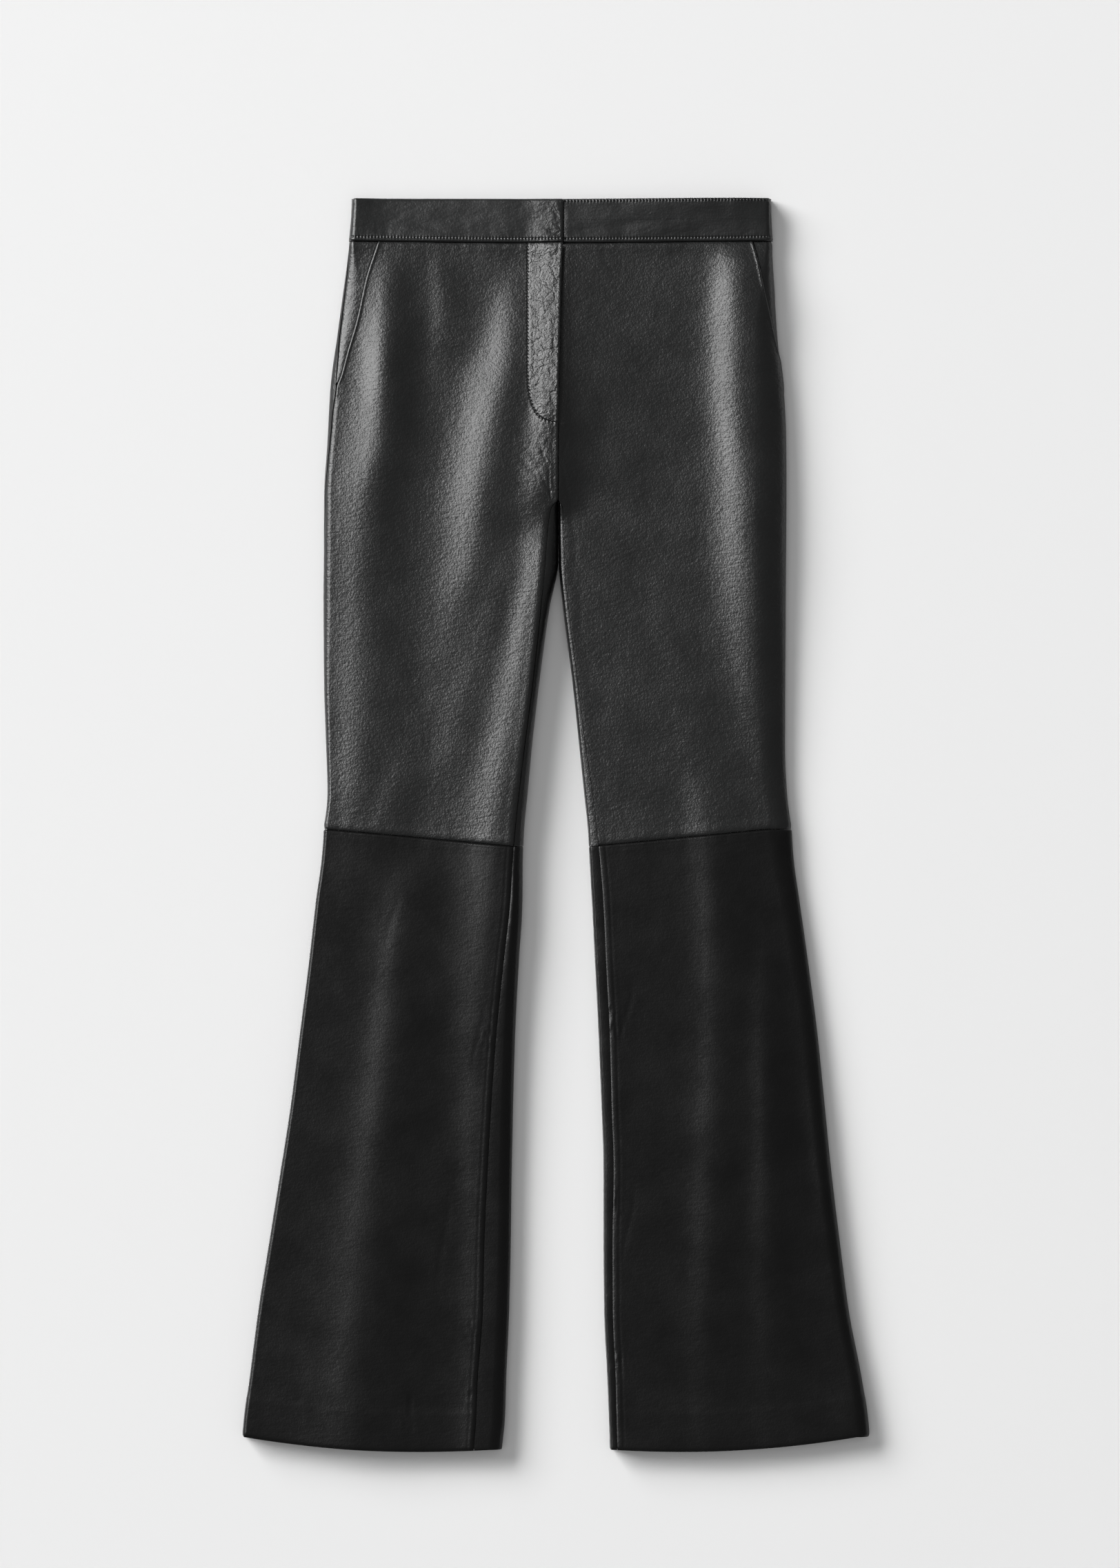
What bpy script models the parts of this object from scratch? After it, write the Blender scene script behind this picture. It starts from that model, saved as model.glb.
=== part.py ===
"""Flared leather trousers laid flat on a surface, front up, as a closed wall for every cut and sewn piece.

Frame: +X to the wearer's left, +Y towards the waist, +Z up out of the surface. The origin is on the surface,
under the middle of the trousers. Sizes in the tables are millimetres. "below" is the distance down from the
waist's top edge. Each leg is a flattened tube, and a place on it is given by how far round the tube it is
(turn) and which cross line of the garment it is on (level, the cross line's "below" at the inner edge):

    turn 0..1  outer roll, upper half      turn 3..4  inner roll, lower half
    turn 1..2  top                         turn 4..5  underside
    turn 2..3  inner roll, upper half      turn 5..6  outer roll, lower half
"""

import bmesh
import bpy
import numpy as np

MM = 0.001
LENGTH = 1073.0            # waist's top edge to the lowest point of the hems
LEATHER = 1.5              # wall of a panel
BAND_WALL = 2.4            # waistband, two layers of leather
BAND_PROUD = 0.6           # how far the waistband stands over the panels
HEM_WALL = 2.8             # wall where the hem is turned up
HEM_TURN = 36.0            # depth of the turned-up hem
SEAM_GAP = 0.3             # between neighbouring pieces
FACING_SUNK = 1.1          # how far a pocket facing lies under its mouth's edge
FACING_WALL = 1.2
UNDERLAP = 28.0            # how far the left half runs on under the fly's lap
ZIP_WIDTH = 20.0
ZIP_WALL = 1.0
HOOK_PLATE = (10.0, 12.0, 0.8)
HOOK_EDGE = 6.0            # from the lap's edge
HOOK_BELOW = 13.0          # from the waist's top edge
LAP_SLACK = 0.2            # further room between what lies under the lap
LAP_DROP = LEATHER + SEAM_GAP + ZIP_WALL + SEAM_GAP + LAP_SLACK
BAND_DROP = BAND_WALL + SEAM_GAP + HOOK_PLATE[2] + SEAM_GAP + LAP_SLACK
HALF_GAP = SEAM_GAP / 2
EDGE_RISE = 0.45           # the folded edge's mid height, as a share of the tube's height
SEAT_TUCK = 3.0            # width of the underside's strip beside the closed centre seam
CROTCH = 258.0             # where the four panels meet, in front
SEAT_FOLD = 310.0          # where the seat folds round under the crotch and the legs part
BAND_SEAM = 37.5
KNEE_SEAM = 554.0
HEM = 1071.0
EVEN_SHARE = 0.45          # of a front's columns; the rest crowd towards its two edges
FLY_END = 192.0
FLY_TAPER = 34.0           # length over which the underlap runs out at the fly's foot
LAP_START = 5.0            # how far beside the lap's edge the left half starts to dip under it
LAP_REACH = 24.0           # width of that dip, most of it under the lap
FOLD_STEEPNESS = 1.2       # how much of a fold's rise lies within its ramp


def curve(rows, column):
    """A smooth curve with no overshoot through a table's column, against its first column."""
    at = np.array([row[0] for row in rows], float)
    value = np.array([row[column] for row in rows], float)
    step = np.diff(at)
    slope = np.diff(value) / step
    turn = np.zeros_like(value)
    for k in range(1, len(at) - 1):
        if slope[k - 1] * slope[k] > 0:
            before, after = 2 * step[k] + step[k - 1], step[k] + 2 * step[k - 1]
            turn[k] = (before + after) / (before / slope[k - 1] + after / slope[k])

    def read(where):
        where = np.clip(np.asarray(where, float), at[0], at[-1])
        k = np.clip(np.searchsorted(at, where, side="right") - 1, 0, len(at) - 2)
        t = (where - at[k]) / step[k]
        return (
            value[k] * (1 + 2 * t) * (1 - t) ** 2
            + turn[k] * step[k] * t * (1 - t) ** 2
            + value[k + 1] * t * t * (3 - 2 * t)
            - turn[k + 1] * step[k] * t * t * (1 - t)
        )

    return read


def smooth(t):
    t = np.clip(t, 0, 1)
    return t * t * (3 - 2 * t)


# Plan of each leg: x of the outer fold, the inseam and the inner fold. Above the seat fold the inner
# column is the centre seam, and above the crotch there is no inseam.
RIGHT_PLAN = [
    # below, outer, inseam, inner
    (0, -174.5, 2.2, 2.2),
    (36, -177.0, 2.2, 2.2),
    (84, -183.0, 2.2, 2.2),
    (120, -188.0, 2.2, 2.2),
    (160, -193.3, 2.2, 2.2),
    (208, -196.0, 2.2, 2.2),
    (258, -198.8, 1.9, 2.2),
    (264, -198.8, -5.0, 2.2),
    (285, -198.9, -11.4, 2.2),
    (310, -199.0, -13.2, 2.0),
    (350, -199.3, -13.8, -5.4),
    (410, -198.9, -18.8, -13.7),
    (470, -197.0, -26.6, -20.6),
    (509, -195.9, -31.3, -24.2),
    (540, -198.8, -34.6, -27.2),
    (568, -201.2, -36.9, -28.3),
    (600, -205.6, -38.9, -28.6),
    (656, -212.0, -45.0, -31.9),
    (715, -219.5, -51.0, -34.8),
    (774, -227.0, -55.3, -36.6),
    (833, -236.0, -58.6, -37.8),
    (892, -245.4, -61.3, -38.6),
    (951, -254.9, -62.6, -40.1),
    (1010, -262.6, -67.0, -42.5),
    (1046, -267.3, -68.5, -43.7),
    (1073, -269.3, -70.2, -46.0),
]
LEFT_PLAN = [
    # below, outer, inseam, inner
    (0, 184.0, 2.2, 2.2),
    (36, 185.3, 2.2, 2.2),
    (84, 188.2, 2.2, 2.2),
    (120, 190.7, 2.2, 2.2),
    (160, 195.3, 2.2, 2.2),
    (208, 197.5, 2.2, 2.2),
    (258, 197.6, 2.5, 2.2),
    (264, 197.6, 5.7, 2.2),
    (285, 197.5, 6.3, 2.2),
    (310, 197.4, 7.4, 2.4),
    (350, 197.2, 10.8, 6.0),
    (410, 196.8, 18.4, 13.7),
    (470, 196.6, 25.9, 20.1),
    (509, 198.2, 31.5, 24.2),
    (540, 201.8, 35.2, 27.4),
    (568, 204.1, 37.8, 29.0),
    (600, 208.6, 40.4, 30.8),
    (656, 216.5, 43.0, 33.6),
    (715, 224.2, 46.0, 36.6),
    (774, 230.1, 47.6, 38.9),
    (833, 236.0, 49.4, 40.8),
    (892, 243.1, 48.4, 40.8),
    (951, 250.8, 48.6, 41.3),
    (1010, 262.0, 51.0, 44.0),
    (1046, 267.4, 51.9, 45.4),
    (1073, 269.3, 52.5, 46.2),
]

# Each leg's flattened tube: its height before the folds, how wide the outer and inner edges roll over, and
# how high the inner edge is.
SECTIONS = [
    # below, height_right, height_left, outer_right, outer_left, inner_right, inner_left, inner_mid
    (0, 12.4, 12.7, 8.0, 8.0, 1.0, 1.0, 6.0),
    (36, 12.4, 12.7, 9.0, 9.0, 1.0, 1.0, 6.0),
    (80, 12.3, 12.6, 15.0, 14.0, 1.0, 1.0, 6.0),
    (120, 12.4, 12.8, 14.0, 18.0, 1.0, 1.0, 6.0),
    (200, 13.0, 13.6, 7.0, 20.0, 1.0, 1.0, 6.0),
    (258, 13.6, 14.4, 6.0, 20.0, 1.0, 1.0, 8.0),
    (264, 13.6, 14.4, 6.0, 20.0, 7.0, 3.4, 7.0),
    (285, 13.6, 14.4, 6.0, 20.0, 13.4, 4.1, 5.4),
    (310, 13.4, 14.2, 6.0, 20.0, 15.0, 5.0, 4.6),
    (350, 13.0, 13.8, 6.0, 19.0, 12.0, 5.0, 5.6),
    (410, 12.6, 13.2, 6.0, 17.0, 12.0, 5.6, 6.2),
    (500, 12.2, 12.6, 5.5, 14.0, 12.0, 6.0, 6.0),
    (554, 12.0, 12.4, 5.0, 12.0, 12.0, 6.0, 5.9),
    (700, 12.2, 12.6, 5.0, 11.0, 13.0, 6.0, 6.0),
    (850, 12.8, 13.2, 5.0, 11.0, 14.0, 6.0, 6.2),
    (960, 13.4, 13.6, 5.0, 11.0, 14.0, 6.0, 6.2),
    (1073, 13.8, 13.8, 5.0, 11.0, 13.0, 6.0, 6.0),
]

# How the garment's cross lines run: level is their place at the inner edge, slant is how much higher they
# are at the outer edge, bow is how far they sag in the middle.
CROSS_LINES = [
    # level, slant, bow
    (0, 0.9, 0.0),
    (37.5, 1.8, 0.2),
    (240, 0.0, 0.0),
    (430, 0.0, 0.0),
    (554, 14.5, 0.0),
    (820, 12.0, 2.0),
    (1071, 10.8, 6.0),
]

# The folds of each half: the top rises by "rise" towards +X about x, over "ramp" to either side, and then
# sinks back over "tail".
FOLDS = {
    "right": {
        "side": [
            # below, x, rise, ramp, tail
            (30, -152, 0.0, 13, 23),
            (60, -152, 2.2, 15, 24),
            (90, -154, 4.8, 17, 27),
            (125, -156, 7.7, 18, 29),
            (160, -157, 8.7, 21, 29),
            (208, -161, 8.7, 25, 32),
            (255, -170, 7.5, 31, 35),
            (320, -176, 5.1, 27, 39),
            (410, -178, 3.8, 20, 50),
            (500, -180, 3.0, 15, 55),
            (545, -180, 1.1, 13, 56),
            (620, -183, 0.0, 10, 55),
        ],
        "hip": [
            (38, -105, 0.0, 6, 18),
            (60, -104, 1.1, 6, 20),
            (100, -103, 1.7, 7, 22),
            (140, -105, 0.7, 7, 21),
            (180, -109, 0.0, 8, 21),
        ],
        "thigh": [
            (52, -44, 0.0, 14, 55),
            (90, -48, 4.1, 17, 55),
            (125, -53, 7.1, 19, 55),
            (160, -61, 8.7, 21, 55),
            (208, -71, 8.7, 22, 55),
            (255, -78, 8.7, 24, 55),
            (302, -82, 7.5, 26, 55),
            (349, -92, 5.2, 27, 55),
            (396, -96, 3.5, 27, 55),
            (444, -96, 2.6, 26, 55),
            (545, -100, 0.9, 24, 55),
            (610, -106, 0.0, 22, 55),
        ],
        "fly": [
            (0, -12, 4.6, 14, 60),
            (40, -12, 5.2, 14, 60),
            (90, -12, 5.6, 14, 60),
            (165, -12, 5.6, 13, 60),
            (200, -13, 5.0, 13, 60),
            (235, -15, 3.8, 13, 56),
            (258, -16, 2.6, 12, 52),
            (280, -17, 0.0, 12, 52),
        ],
        "inseam": [
            (262, -21, 0.0, 13, 44),
            (302, -22, 7.3, 16, 51),
            (349, -29, 8.5, 18, 57),
            (396, -37, 8.5, 20, 60),
            (444, -46, 8.5, 23, 60),
            (491, -56, 8.5, 24, 58),
            (526, -61, 8.3, 26, 57),
            (560, -63, 8.0, 28, 58),
            (620, -68, 7.2, 30, 60),
            (731, -76, 4.3, 22, 60),
            (830, -75, 2.4, 15, 53),
            (900, -76, 1.9, 13, 45),
            (1073, -79, 1.4, 12, 35),
        ],
        "crotch_fan": [
            (270, -39, 0.0, 12, 50),
            (330, -54, 2.2, 13, 50),
            (400, -74, 1.3, 13, 46),
            (470, -96, 0.7, 13, 40),
            (545, -115, 0.4, 12, 33),
            (600, -124, 0.0, 12, 28),
        ],
        "knee_fan": [
            (400, -104, 0.0, 12, 34),
            (450, -124, 0.5, 12, 35),
            (520, -150, 1.6, 12, 39),
            (570, -163, 0.0, 12, 38),
        ],
        "calf": [
            (556, -132, 0.0, 14, 47),
            (597, -139, 1.7, 15, 50),
            (656, -147, 3.1, 17, 52),
            (715, -153, 3.8, 20, 51),
            (774, -159, 3.9, 21, 50),
            (833, -167, 3.5, 23, 49),
            (892, -176, 4.1, 27, 50),
            (951, -181, 4.2, 30, 52),
            (1010, -187, 3.9, 32, 54),
            (1073, -194, 3.0, 32, 54),
        ],
    },
    "left": {
        "front": [
            (44, 14, 0.0, 14, 62),
            (60, 15, 0.3, 15, 62),
            (110, 18, 1.1, 15, 61),
            (160, 19, 1.6, 16, 60),
            (230, 14, 0.8, 15, 60),
            (262, 12, 0.0, 15, 60),
        ],
        "side": [
            (34, 142, 0.0, 13, 66),
            (54, 142, 4.8, 15, 68),
            (90, 142, 7.8, 18, 70),
            (160, 143, 7.8, 17, 70),
            (208, 146, 7.8, 19, 70),
            (255, 149, 7.8, 21, 70),
            (302, 150, 7.8, 22, 70),
            (349, 153, 6.3, 22, 63),
            (396, 156, 4.6, 20, 54),
            (444, 164, 2.8, 18, 45),
            (491, 173, 1.3, 16, 39),
            (545, 180, 0.5, 14, 34),
            (620, 186, 0.0, 13, 29),
        ],
        "thigh": [
            (330, 87, 0.0, 14, 40),
            (396, 94, 0.7, 14, 40),
            (444, 102, 1.0, 14, 41),
            (491, 112, 1.3, 14, 42),
            (526, 119, 1.8, 14, 44),
            (562, 123, 2.6, 15, 46),
            (600, 126, 2.9, 15, 47),
            (700, 129, 2.9, 16, 50),
            (850, 123, 2.8, 16, 47),
            (950, 121, 2.0, 16, 43),
            (1073, 118, 0.6, 15, 39),
        ],
        "calf": [
            (600, 175, 0.0, 11, 17),
            (700, 173, 2.1, 13, 22),
            (774, 173, 3.1, 14, 25),
            (900, 173, 2.3, 14, 34),
            (1010, 177, 0.9, 12, 36),
            (1073, 178, 0.5, 10, 35),
        ],
        "edge": [
            (640, 196, 0.0, 8, 21),
            (730, 209, 0.3, 7, 22),
            (780, 216, 0.7, 7, 22),
            (840, 223, 0.8, 7, 21),
            (900, 230, 0.0, 8, 20),
        ],
        "seam": [
            (178, -14, 0.0, 6, 22),
            (198, -14, 4.5, 6, 22),
            (235, -15, 4.0, 6, 22),
            (258, -17, 3.0, 6, 22),
            (276, -19, 0.0, 6, 22),
        ],
    },
}

# The edge of the fly's lap, which runs on down as the centre front seam.
LAP_EDGE = [
    # below, x
    (0, 6.5),
    (38, 6.2),
    (60, 5.3),
    (120, 3.5),
    (192, 2.4),
    (258, 2.2),
]
# Each pocket's mouth, which runs out on the side seam.
POCKET_MOUTH = {
    "right": [
        # below, x
        (0, -141.5),
        (37, -153.1),
        (68, -163.3),
        (103, -171.1),
        (134, -180.2),
        (150, -184.4),
        (166, -189.4),
    ],
    "left": [
        (0, 159.8),
        (38, 169.8),
        (54, 174.0),
        (76, 178.6),
        (101, 184.3),
        (119, 188.4),
        (140, 193.2),
        (166, 197.0),
    ],
}
MOUTH_END = {"right": 168.0, "left": 184.0}
MOUTH_FOOT = {"right": 12.0, "left": 38.0}  # length over which a mouth's line runs into the side seam
FACING_END = {"right": 158.0, "left": 166.0}
# Where the side seam lies round the outer fold; under zero is the underside.
SIDE_SEAM = {
    "right": [
        # level, turn
        (0, 0.16),
        (37, 0.18),
        (67, 0.26),
        (84, 0.28),
        (101, 0.31),
        (118, 0.34),
        (140, 0.50),
        (154, 0.58),
        (166, 0.66),
        (176, 0.63),
        (186, 0.60),
        (196, 0.60),
        (207, 0.55),
        (222, 0.48),
        (254, 0.40),
        (300, 0.10),
        (340, -0.10),
        (1073, -0.10),
    ],
    "left": [
        (0, -0.50),
        (1073, -0.50),
    ],
}

# Cross lines that the pieces have corners on, besides their seams.
HIP_LEVELS = [60, 80, 101, 119, 134, 147, 158, 166, 175, 184, FLY_END, 212, 234]
FORK_LEVELS = [CROTCH, 264, 274, 290, SEAT_FOLD, 332, 358, 390, 422, 452, 482, 510, 532]
THIGH_LEVELS = HIP_LEVELS + FORK_LEVELS
CALF_LEVELS = [574, 606, 654, 704, 754, 804, 854, 904, 954, 1000, HEM - HEM_TURN - 2, HEM - HEM_TURN, 1054]
BAND_LEVELS = [0.0, 2.0, 18.0, BAND_SEAM - SEAM_GAP / 2]

SIDES = ("right", "left")
height = {side: curve(SECTIONS, 1 + k) for k, side in enumerate(SIDES)}
outer_roll = {side: curve(SECTIONS, 3 + k) for k, side in enumerate(SIDES)}
inner_roll = {side: curve(SECTIONS, 5 + k) for k, side in enumerate(SIDES)}
inner_mid = curve(SECTIONS, 7)
slant = curve(CROSS_LINES, 1)
bow = curve(CROSS_LINES, 2)
lap_edge = curve(LAP_EDGE, 1)
outer_fold = {"right": curve(RIGHT_PLAN, 1), "left": curve(LEFT_PLAN, 1)}
inseam = {"right": curve(RIGHT_PLAN, 2), "left": curve(LEFT_PLAN, 2)}
inner_fold = {"right": curve(RIGHT_PLAN, 3), "left": curve(LEFT_PLAN, 3)}
pocket_mouth = {side: curve(rows, 1) for side, rows in POCKET_MOUTH.items()}
side_seam = {side: curve(rows, 1) for side, rows in SIDE_SEAM.items()}
folds = {
    side: [tuple(curve(rows, column) for column in (1, 2, 3, 4)) for rows in FOLDS[side].values()]
    for side in SIDES
}
OUTWARD = {"right": -1.0, "left": 1.0}


def top_height(side, x, below):
    """Height of one half's front face over the surface."""
    total = height[side](below)
    for path, rise, ramp, tail in folds[side]:
        past = x - path(below)
        step = (1 + np.tanh(FOLD_STEEPNESS * past / ramp(below))) / 2
        total = total + rise(below) * step * np.exp(-((np.maximum(past, 0) / tail(below)) ** 2))
    return total


def underlap(below):
    """How far the left half runs on under the lap at this place, ending in a rounded foot."""
    left = np.clip((FLY_END - below) / FLY_TAPER, 0, 1)
    return UNDERLAP * np.sqrt(1 - (1 - left) ** 2)


def front_end(side, below):
    """x of a front's edge at the centre: the lap's edge on the right half, under the lap on the left half."""
    if side == "right":
        return lap_edge(below) - SEAM_GAP / 2
    return lap_edge(below) + SEAM_GAP / 2 - underlap(below)


def lap_drop(side, x, below, depth):
    """How far the left half is pressed down where it runs under the lap."""
    if side == "right":
        return np.zeros_like(x)
    across = smooth((lap_edge(below) + LAP_START - x) / LAP_REACH)
    return depth * across * smooth((CROTCH - below) / (CROTCH - FLY_END))


def ring_point(side, turn, level, inset, drop=0.0):
    """A point of the tube's wall, inset from its outer face. Turn and level are arrays of one shape."""
    turn, level = np.broadcast_arrays(np.asarray(turn, float) % 6, np.asarray(level, float))
    inset = np.broadcast_to(np.asarray(inset, float), turn.shape)
    on_top = turn < 3
    across = np.where(on_top, np.clip(turn - 1, 0, 1), np.clip(5 - turn, 0, 1))
    below = level - slant(level) * (1 - across) + 4 * bow(level) * across * (1 - across)

    out = OUTWARD[side]
    legs_part = below >= SEAT_FOLD - 1e-6
    above_crotch = below < CROTCH
    outer = out * outer_fold[side](below) - inset
    centre = out * inner_fold[side](below)
    inner = centre + np.where(legs_part, inset, SEAM_GAP / 2)
    inner = np.where(on_top & above_crotch, out * front_end(side, below), inner)
    roll = outer_roll[side](below) - inset
    roll_in = np.where(above_crotch, 0.0, inner_roll[side](below) - np.where(legs_part, inset, 0))
    roll_in_under = np.where(legs_part, inner_roll[side](below) - inset, SEAT_TUCK)
    mid = EDGE_RISE * height[side](below)
    mid_in = inner_mid(below) - np.where(legs_part, 0.0, inset)
    floor = np.maximum(inset, 0)

    # distance from the middle, by stretches of the turn
    quarter = np.pi / 2
    x = np.select(
        [turn < 1, turn < 2, turn < 3, turn < 4, turn < 5],
        [
            outer - roll * (1 - np.cos(turn * quarter)),
            (outer - roll) + (inner + roll_in - outer + roll) * (turn - 1),
            inner + roll_in * (1 - np.cos((3 - turn) * quarter)),
            np.where(
                legs_part,
                inner + roll_in_under * (1 - np.cos((turn - 3) * quarter)),
                inner + roll_in_under * (turn - 3),
            ),
            (inner + roll_in_under) + (outer - roll - inner - roll_in_under) * (turn - 4),
        ],
        outer - roll * (1 - np.cos((6 - turn) * quarter)),
    )
    top = top_height(side, out * x, below) - inset - lap_drop(side, out * x, below, drop)
    z = np.select(
        [turn < 1, turn < 2, turn < 3, turn < 4, turn < 5],
        [
            mid + (top - mid) * np.sin(turn * quarter),
            top,
            np.where(above_crotch, top, mid_in + (top - mid_in) * np.sin((3 - turn) * quarter)),
            np.where(legs_part, mid_in + (floor - mid_in) * np.sin((turn - 3) * quarter), floor),
            floor,
        ],
        mid + (floor - mid) * np.sin((6 - turn) * quarter),
    )
    y = LENGTH / 2 - below
    return np.stack([out * x, y, z], axis=-1)


def turn_at(side, plan, level, low=0.0, high=3.0):
    """The turn, between low and high, at which a cross line meets a line drawn in plan."""
    low, high = np.full(np.shape(level), low), np.full(np.shape(level), high)
    for _ in range(40):
        middle = (low + high) / 2
        point = ring_point(side, middle, level, 0.0)
        outside = OUTWARD[side] * (point[..., 0] - plan(LENGTH / 2 - point[..., 1])) > 0
        low, high = np.where(outside, middle, low), np.where(outside, high, middle)
    return (low + high) / 2


def mouth_turn(side, level):
    """The turn of the pocket mouth's edge, which is the side seam from the mouth's foot down."""
    seam = side_seam[side](level)
    mouth = np.maximum(turn_at(side, pocket_mouth[side], level), seam)
    foot = MOUTH_FOOT[side]
    return mouth + (seam - mouth) * smooth((level - MOUTH_END[side] + foot) / foot)


def shifted(side, turn, level, distance):
    """The turn that lies a distance in millimetres further round the tube."""
    start = ring_point(side, turn, level, 0.0)
    near, far = np.zeros_like(turn), np.full_like(turn, 0.2)
    for _ in range(40):
        middle = (near + far) / 2
        there = ring_point(side, turn + np.sign(distance) * middle, level, 0.0)
        short = np.linalg.norm(there - start, axis=-1) < abs(distance)
        near, far = np.where(short, middle, near), np.where(short, far, middle)
    return turn + np.sign(distance) * near


def spread(stops, counts):
    """Turns along each cross line, in counts[k] even steps between stops[k] and stops[k + 1]."""
    columns = [stops[0]]
    for first, last, count in zip(stops[:-1], stops[1:], counts):
        columns += [first + (last - first) * k / count for k in range(1, count + 1)]
    return np.stack(columns, axis=1)


def spaced(side, first, last, level, columns):
    """Turns from first to last along each cross line, closer together in the rolls at either end, and in
    step from one cross line to the next."""
    t = np.linspace(0, 1, columns + 1)
    wanted = EVEN_SHARE * t + (1 - EVEN_SHARE) * (1 - np.cos(np.pi * t)) / 2
    fine = first[:, None] + (last - first)[:, None] * np.linspace(0, 1, 400)[None, :]
    line = ring_point(side, fine, level[:, None], 0.0)
    length = np.cumsum(np.linalg.norm(np.diff(line, axis=1), axis=-1), axis=1)
    length = np.concatenate([np.zeros((len(level), 1)), length / length[:, -1:]], axis=1)
    return np.stack([np.interp(wanted, length[k], fine[k]) for k in range(len(level))])


def leather(name, colour, roughness):
    material = bpy.data.materials.new(name)
    material.use_nodes = True
    shader = material.node_tree.nodes["Principled BSDF"]
    shader.inputs["Base Color"].default_value = (*colour, 1.0)
    shader.inputs["Roughness"].default_value = roughness
    return material


def wall(name, patches, material, collection):
    """A closed wall between an outer and an inner sheet. Each patch is (outer points, inner points), rows by
    columns; patches join where their points meet."""
    sheet = bmesh.new()
    inner_place = sheet.verts.layers.float_vector.new("inner")
    for outer, inner in patches:
        rows, columns = outer.shape[:2]
        grid = [[sheet.verts.new(outer[i, j] * MM) for j in range(columns)] for i in range(rows)]
        for i in range(rows):
            for j in range(columns):
                grid[i][j][inner_place] = inner[i, j] * MM
        for i in range(rows - 1):
            for j in range(columns - 1):
                sheet.faces.new([grid[i][j], grid[i][j + 1], grid[i + 1][j + 1], grid[i + 1][j]])
    bmesh.ops.remove_doubles(sheet, verts=sheet.verts, dist=1e-6)
    faces = list(sheet.faces)
    rim = [edge.link_loops[0] for edge in sheet.edges if edge.is_boundary]
    twin = {vert: sheet.verts.new(vert[inner_place]) for vert in list(sheet.verts)}
    for face in faces:
        sheet.faces.new([twin[vert] for vert in reversed(face.verts)])
    for loop in rim:
        first, last = loop.vert, loop.link_loop_next.vert
        sheet.faces.new([last, first, twin[first], twin[last]])
    bmesh.ops.recalc_face_normals(sheet, faces=sheet.faces)

    mesh = bpy.data.meshes.new(name)
    sheet.to_mesh(mesh)
    sheet.free()
    mesh.shade_smooth()
    mesh.set_sharp_from_angle(angle=np.radians(50))
    mesh.materials.append(material)
    made = bpy.data.objects.new(name, mesh)
    collection.objects.link(made)
    return made


def patch(side, turns, levels, inset, thickness, drop=0.0):
    """Outer and inner points of a piece. Turns has a row for each level; inset and thickness may vary."""
    grid_levels = np.broadcast_to(np.asarray(levels, float)[:, None], turns.shape)
    return tuple(ring_point(side, turns, grid_levels, depth, drop) for depth in (inset, inset + thickness))


def levels_between(first, last, listed):
    """Cross-line levels of a piece, half a seam gap inside its two seams."""
    return np.array([first + SEAM_GAP / 2, *listed, last - SEAM_GAP / 2])


def front_thigh(side, material, collection):
    levels = levels_between(BAND_SEAM, KNEE_SEAM, THIGH_LEVELS)
    first = shifted(side, mouth_turn(side, levels), levels, HALF_GAP)
    last = np.where(levels < CROTCH, 2.0, turn_at(side, inseam[side], levels))
    last = np.where(levels < CROTCH, last, shifted(side, last, levels, -HALF_GAP))
    turns = spaced(side, first, last, levels, 24)
    points = patch(side, turns, levels, 0.0, LEATHER, LAP_DROP)
    wall(f"front_{side}_thigh", [points], material, collection)


def front_calf(side, material, collection):
    levels = levels_between(KNEE_SEAM, HEM, CALF_LEVELS)
    first = shifted(side, side_seam[side](levels), levels, HALF_GAP)
    last = shifted(side, turn_at(side, inseam[side], levels), levels, -HALF_GAP)
    turns = spaced(side, first, last, levels, 20)
    points = patch(side, turns, levels, 0.0, hem_thickness(levels))
    wall(f"front_{side}_calf", [points], material, collection)


def hem_thickness(levels):
    """The wall is doubled where the hem is turned up."""
    return np.where(levels > HEM - HEM_TURN - 1, HEM_WALL, LEATHER)[:, None]


def back_thigh(side, material, collection):
    levels = levels_between(BAND_SEAM, KNEE_SEAM, THIGH_LEVELS)
    whole = np.ones_like(levels)
    last = shifted(side, 6 + side_seam[side](levels), levels, -HALF_GAP)
    underside = spread([3 * whole, 4 * whole, 5 * whole, last], [2, 5, 4])
    fork = levels[levels >= CROTCH]
    first = shifted(side, turn_at(side, inseam[side], fork), fork, HALF_GAP)
    strip = spread([first, np.full_like(fork, 2.999999)], [4])
    patches = [
        patch(side, underside, levels, 0.0, LEATHER),
        patch(side, strip, fork, 0.0, LEATHER),
    ]
    wall(f"back_{side}_thigh", patches, material, collection)


def back_calf(side, material, collection):
    levels = levels_between(KNEE_SEAM, HEM, CALF_LEVELS)
    whole = np.ones_like(levels)
    first = shifted(side, turn_at(side, inseam[side], levels), levels, HALF_GAP)
    last = shifted(side, 6 + side_seam[side](levels), levels, -HALF_GAP)
    turns = spread([first, 3 * whole, 4 * whole, 5 * whole, last], [4, 2, 4, 4])
    points = patch(side, turns, levels, 0.0, hem_thickness(levels))
    wall(f"back_{side}_calf", [points], material, collection)


def pocket_facing(side, material, collection):
    """The piece that shows between a pocket's mouth and the side seam, sunk under the mouth's edge."""
    listed = [level for level in THIGH_LEVELS if level < FACING_END[side]]
    levels = levels_between(BAND_SEAM, FACING_END[side] + HALF_GAP, listed)
    first = shifted(side, side_seam[side](levels), levels, HALF_GAP)
    last = shifted(side, mouth_turn(side, levels), levels, -HALF_GAP)
    turns = spread([first, last], [5])
    sunk = np.linspace(0.0, FACING_SUNK, turns.shape[1])[None, :]
    points = patch(side, turns, levels, np.broadcast_to(sunk, turns.shape), FACING_WALL)
    wall(f"pocket_facing_{side}", [points], material, collection)


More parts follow.
